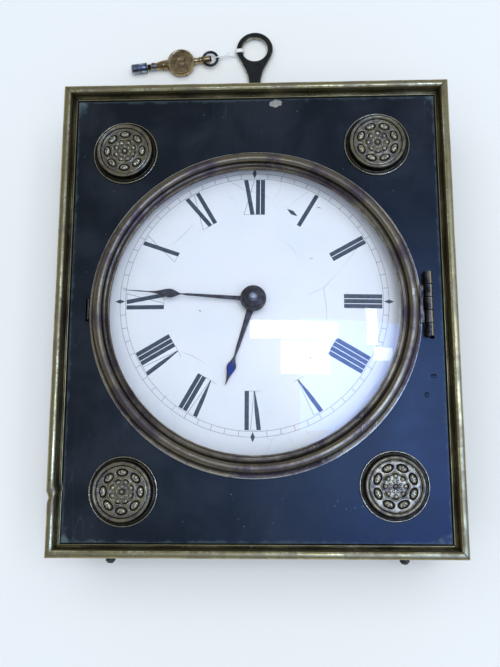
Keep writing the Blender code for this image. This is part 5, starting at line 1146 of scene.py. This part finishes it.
for corner, sideX, sideY, halfStep in (("top_left", -1, 1, 0), ("top_right", 1, 1, 1),
                                       ("bottom_left", -1, -1, 0), ("bottom_right", 1, -1, 1)):
    addRosette("rosette_" + corner, sideX, sideY, halfStep, rosetteLook)
print("rosettes made")


# Key: rows of the pipe are (share of its radius, place along it, wear), of the sleeve (share of the barrel's
# radius, place along the key), of the stem and neck shares of the barrel's radius and of their own lengths,
# of the disc's dish (radius, height over it, wear) and of its rim (radius, depth under it, wear)
keyLook = {"pipeRadius": 0.0021, "pipeLength": 0.0068, "socketHalf": 0.00075, "socketDeep": 0.0050,
           "barrel": 0.0015, "discAt": 0.0221, "discRadius": 0.0061, "discHalf": 0.0012, "dish": 0.0004,
           "neckEnd": 0.0358, "eyeRadius": 0.0011, "eyeWire": 0.00022, "eyeAside": 0.00085,
           "eyeLift": 0.0002, "pipeGap": 0.0003, "steps": 64, "socketWear": -1.0, "sleeveWear": 0.5,
           "stemWear": 0.30, "deepWear": -1.0, "eyeWear": -0.5, "ringWear": 0.15,
           "dishRows": ((0.0, 0.00018, 0.2), (0.0012, 0.00016, 0.5), (0.0017, -0.00004, 0.0),
                        (0.0021, 0.00010, 0.45), (0.0025, 0.0, 0.1), (0.0048, 0.0, 0.15)),
           "rimRows": ((0.00515, 0.0001, 0.4), (0.0054, 0.0, 0.7), (0.00575, 0.0, 0.7),
                       (0.0060, 0.00022, 0.6), (0.0061, 0.0006, 0.3)),
           "pipe": ((0.0, 0.0068, -0.6), (1.0, 0.0068, -0.6), (1.0, 0.0065, -0.6), (0.97, 0.0062, 0.5),
                    (1.0, 0.0059, 0.5), (1.0, 0.0006, 0.45), (0.98, 0.0002, -0.2), (0.90, 0.0, -0.8)),
           "sleeve": ((1.0, 0.0089), (1.09, 0.0090), (1.09, 0.0105), (1.0, 0.0106)),
           "stem": ((0.0, 0.0), (0.78, 0.0), (0.80, 0.05), (0.80, 0.14), (0.92, 0.18), (1.06, 0.21),
                    (1.06, 0.39), (0.99, 0.42), (0.93, 0.44), (0.97, 0.48), (1.08, 0.56), (1.20, 0.64),
                    (1.30, 0.74), (1.33, 0.82), (1.29, 0.85), (1.36, 0.88), (1.45, 1.0)),
           "neck": ((0.95, 0.0), (0.84, 0.10), (0.75, 0.18), (0.78, 0.26), (0.92, 0.29), (0.95, 0.33),
                    (0.92, 0.37), (0.86, 0.40), (0.93, 0.46), (0.96, 0.60), (0.95, 0.80), (0.93, 0.87),
                    (0.82, 0.92), (0.80, 0.985), (0.72, 1.0), (0.0, 1.0)),
           "waist": (0.45, 0.18)}


# The key lies along one line from its tip: steel pipe with a square socket, brass stem and disc, eye and ring
def addKey(look, thread):
    ahead = [*toward(math.radians(thread["keyAngle"])), 0.0]
    line, across = np.array(ahead), np.array([-ahead[1], ahead[0], 0.0])
    tip = np.array([*thread["keyTip"], thread["keyZ"]])
    axes, steps, barrel = spotAxes(tip, line, (0, 0, 1)), look["steps"], look["barrel"]
    angle = turnAngles(steps)
    circle = toward(angle)
    square = circle * (look["socketHalf"] / np.maximum(*np.abs(circle.T)))[:, None]
    rows = [(circle * look["pipeRadius"], *row) for row in look["pipe"]]
    rows += [(square, share, along, look["socketWear"])
             for share, along in ((1.0, 0.0), (1.0, look["socketDeep"]), (0.0, look["socketDeep"]))]
    grid = np.stack([np.column_stack([outline * share, np.full(steps, along)])
                     for outline, share, along, _ in rows])
    pipe = shell(placed(grid, axes), wear=np.array([row[3] for row in rows])[:, None])
    sleeve = turned(np.array(look["sleeve"]) * (barrel, 1), steps, look["sleeveWear"], axes=axes)
    makePiece("key_pipe_steel", [pipe, sleeve], "key", "keySteel", ["key_pipe"], 35.0)
    radius, half, low = look["discRadius"], look["discHalf"], look["discHalf"] - look["dish"]
    start = look["pipeLength"] + look["pipeGap"]
    shoulder, far = look["discAt"] - radius, look["discAt"] + radius
    waist, inset = look["waist"]
    stem = [(share * barrel, start + up * (shoulder - start)) for share, up in look["stem"]]
    stem += [(waist * barrel, shoulder + inset * radius), (waist * barrel, far - inset * radius)]
    stem += [(share * barrel, far + up * (look["neckEnd"] - far)) for share, up in look["neck"]]
    stemWear = np.full((len(stem), 1), look["stemWear"])
    stemWear[1:4] = look["deepWear"]
    stemWear[-4:] = look["deepWear"]
    solids = [turned(stem, steps, stemWear, axes=axes, ring=False)]
    face = np.concatenate([np.array(look["dishRows"]) + (0, low, 0),
                           np.array(look["rimRows"]) * (1, -1, 1) + (0, half, 0)])
    disc = np.concatenate([face, face[::-1] * (1, -1, 1)]) + (0, tip[2], 0)
    solids.append(turned(disc[:, :2], 120, disc[:, 2:], (tip + line * look["discAt"])[:2], ring=False))
    eyeAt = thread["ringAt"] - thread["ringRadius"] + look["eyeLift"]
    eyeAxes = spotAxes(tip + line * eyeAt, across, (0, 0, 1))
    for side in (-1, 1):
        wire = look["eyeWire"]
        rim = arcPoints((look["eyeRadius"], side * look["eyeAside"]), wire, wire, 0, 330, 12)
        solids.append(turned(rim, 32, look["eyeWear"], axes=eyeAxes))
    makePiece("key_stem_and_disc", solids, "key", "keyBrass", ["key_body"], 35.0)
    section = arcPoints((thread["ringRadius"], tip[2]), thread["ringWire"], thread["ringWire"], 0, 337.5, 16)
    bow = turned(section, 72, look["ringWear"], (tip + line * thread["ringAt"])[:2])
    makePiece("key_bow_ring", [bow], "key", "darkBrass", ["key_ring"])


addKey(keyLook, threadLook)
print("key made")


# A merged copy of a CAD node with its sharp edges broken by a small bevel
def softened(node, width, body, finish, slot):
    shape = bmesh.new()
    shape.from_mesh(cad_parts[node].data)
    bmesh.ops.remove_doubles(shape, verts=shape.verts, dist=0.000005)
    bmesh.ops.dissolve_limit(shape, angle_limit=math.radians(1.0), verts=shape.verts, edges=shape.edges)
    mesh = bpy.data.meshes.new(node + "_eased")
    shape.to_mesh(mesh)
    shape.free()
    breakEdges(dressed(newObject(node + "_eased", mesh), body, finish, [node], 40.0), width, 35)


for row in (("carcass", 0.0004, "case", "stainedWood", "case_wood"),
            ("front_panel", 0.00025, "case", "blackJapan", "japanned_front"),
            ("back_board", 0.0003, "case", "stainedWood", "case_wood"),
            ("back_cover", 0.00015, "cover", "plainBrass", "aged_brass"),
            ("case_hinge_leaf", 0.00012, "case", "hingeMetal", "aged_brass"),
            ("bezel_hinge_leaf", 0.00012, "bezel_door", "hingeMetal", "aged_brass"),
            ("cover_hinge_leaf", 0.00012, "case", "hingeMetal", "aged_brass"),
            ("bezel_catch", 0.00012, "catch", "hingeMetal", "bright_brass")):
    softened(*row)

loopLook = {"radius": 0.0081, "low": 0.0010, "high": 0.0030, "openDegrees": 50.5, "tailEnd": 0.0781,
            "tailHalf": 0.0065, "edge": 0.00055, "arcSteps": 60, "sideSteps": 40, "eyeSteps": 96,
            "sideHeights": (0.0897, 0.0950, 0.1030, 0.1106, 0.1128, 0.1151, 0.1173, 0.1196),
            "sideHalves": (0.0065, 0.00403, 0.00330, 0.00265, 0.00305, 0.00375, 0.0048, 0.00588)}


# Hanging loop: a flat plate from its outline and its round eye, each half one face; its rims are bevelled
def addLoop(look, thread):
    middle = np.array(thread["loopMiddle"])
    ring = np.radians(np.linspace(look["openDegrees"] - 90, 90, look["arcSteps"]))
    heights = np.linspace(look["sideHeights"][0], look["sideHeights"][-1], look["sideSteps"])
    halves = throughPoints(heights, look["sideHeights"], look["sideHalves"])
    right = np.concatenate([[(0.0, look["tailEnd"]), (look["tailHalf"], look["tailEnd"])],
                            np.column_stack([halves, heights]),
                            look["radius"] * toward(ring) + (0, middle[1])])
    right[-1, 0] = 0.0
    outline = np.concatenate([right, right[-2:0:-1] * (-1, 1)]) + (middle[0], 0)
    flat = np.concatenate([outline,
                           middle + thread["loopHole"] * toward(turnAngles(look["eyeSteps"]) - math.pi / 2)])
    points = np.concatenate([np.column_stack([flat, np.full(len(flat), height)])
                             for height in (look["low"], look["high"])])
    outer, whole, top, halfEye = len(outline), len(flat), len(right) - 1, look["eyeSteps"] // 2
    faces = []
    for base in (0, whole):
        eye = base + outer
        faces += [[*range(base, base + top + 1), *range(eye + halfEye, eye - 1, -1)],
                  [*range(base + top, eye), base, eye, *range(base + whole - 1, eye + halfEye - 1, -1)]]
    for first, count in ((0, outer), (outer, whole - outer)):
        for corner in range(count):
            here, following = first + corner, first + (corner + 1) % count
            faces.append([here, following, whole + following, whole + here])
    breakEdges(makePiece("loop_plate", [(points, faces, np.zeros(len(points)))], "case", "loopMetal",
                         ["hanging_loop"]), look["edge"], 40)


addLoop(loopLook, threadLook)

# Pieces that keep their shape and only get a finish
nodeFinishes = {
    "plainBrass": ("back_screw_1", "back_screw_2", "back_screw_3", "back_screw_4"),
    "darkBrass": ("loop_screw", "stud_left", "stud_right"),
    "plainSteel": ("cover_hinge_pin", "bezel_hinge_pin", "barrel_arbor", "fusee_chain", "cannon_pinion"),
    "bluedSteel": ("hairspring",),
    "giltBrass": ("false_plate", "pillar_plate", "top_plate", "pillar_1", "pillar_2", "pillar_3", "pillar_4",
                  "potence", "balance_cock", "centre_wheel", "hour_wheel", "minute_wheel", "fusee", "barrel",
                  "third_wheel", "contrate_wheel", "crown_wheel", "balance_wheel")}
for finish, nodes in nodeFinishes.items():
    for node in nodes:
        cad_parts[node].material_slots[0].material = finishes[finish]
print("case and movement dressed")


stageLook = {"floorZ": -0.0002, "floorHalf": 3.0, "floorColour": (0.78, 0.835, 0.90), "floorRoughness": 0.9,
             "floorSpecular": 0.1, "horizon": (0.66, 0.73, 0.84), "above": (0.20, 0.23, 0.28),
             "skyBand": (0.15, 0.80)}


# A pale floor and a sky that darkens upwards
def addStage(look):
    half, floorZ = look["floorHalf"], look["floorZ"]
    mesh = bpy.data.meshes.new("floor")
    corners = ((-half, -half), (half, -half), (half, half), (-half, half))
    mesh.from_pydata([(x, y, floorZ) for x, y in corners], [], [(0, 1, 2, 3)])
    floor = newObject("floor", mesh)
    material, shader, _ = newMaterial("paperFloor")
    feed(shader, {"Base Color": colour(look["floorColour"]), "Roughness": look["floorRoughness"],
                  "Specular IOR Level": look["floorSpecular"]})
    mesh.materials.append(material)
    world = bpy.data.worlds.new("studio")
    bpy.context.scene.world = world
    world.use_nodes = True
    background = world.node_tree.nodes["Background"]
    ahead = nodeIn(background, "TexCoord").outputs["Generated"]
    up = nodeIn(background, "SeparateXYZ", {0: ahead}).outputs["Z"]
    sky = mixOf(rangeOf(up, *look["skyBand"]), colour(look["horizon"]), colour(look["above"]))
    feed(background, {"Color": sky, "Strength": 1.0})


# A rectangular lamp that faces down and doesn't show through glass; the kinds of ray that it names miss it
def addLamp(name, place, size, power, tint, hiddenFrom=()):
    lamp = bpy.data.lights.new(name, 'AREA')
    lamp.shape = 'RECTANGLE'
    lamp.size, lamp.size_y = size
    lamp.energy, lamp.color = power, tint
    holder = newObject(name, lamp)
    holder.location = place
    for ray in ("transmission", *hiddenFrom):
        setattr(holder, "visible_" + ray, False)


# Window overhead: panes are (middle, size), and the sky hangs a little over them, seen only as a reflection
windowLook = {"height": 1.0, "brightness": 9.0, "tint": (0.93, 0.97, 1.0),
              "panes": {"wide pane": ((0.190, -0.024), (0.214, 0.144)),
                        "long pane": ((0.145, 0.095), (0.387, 0.080)),
                        "far pane": ((0.505, 0.125), (0.055, 0.17)),
                        "low pane": ((0.56, 0.000), (0.10, 0.060))},
              "skyPlace": (0.45, -0.10, 1.02), "skySize": (0.56, 0.50), "skyBrightness": 7.5,
              "skyTint": (0.08, 0.27, 1.0)}


# The power of a pane is its brightness times pi times its area
def addWindow(look):
    for name, (middle, size) in look["panes"].items():
        addLamp(name, (*middle, look["height"]), size, look["brightness"] * math.pi * size[0] * size[1],
                look["tint"])
    wide, deep = look["skySize"]
    addLamp("blue sky", look["skyPlace"], (wide, deep), look["skyBrightness"] * math.pi * wide * deep,
            look["skyTint"], ["diffuse"])


# A broad soft light overhead that gloss doesn't show: its level is what a white sheet would show
softLook = {"size": 2.4, "height": 1.7, "level": 0.74, "spread": 1.35, "tint": (1.0, 0.955, 0.84)}


# The power is level times pi^2 times height^2, and a factor for the light that falls beside the sheet
def addSoftLight(look):
    power = look["level"] * math.pi ** 2 * look["height"] ** 2 * look["spread"]
    addLamp("soft light", (0.0, 0.0, look["height"]), (look["size"],) * 2, power, look["tint"], ["glossy"])


addStage(stageLook)
addSoftLight(softLook)
addWindow(windowLook)
bpy.context.scene.view_settings.view_transform = 'Standard'
print("floor and window set")
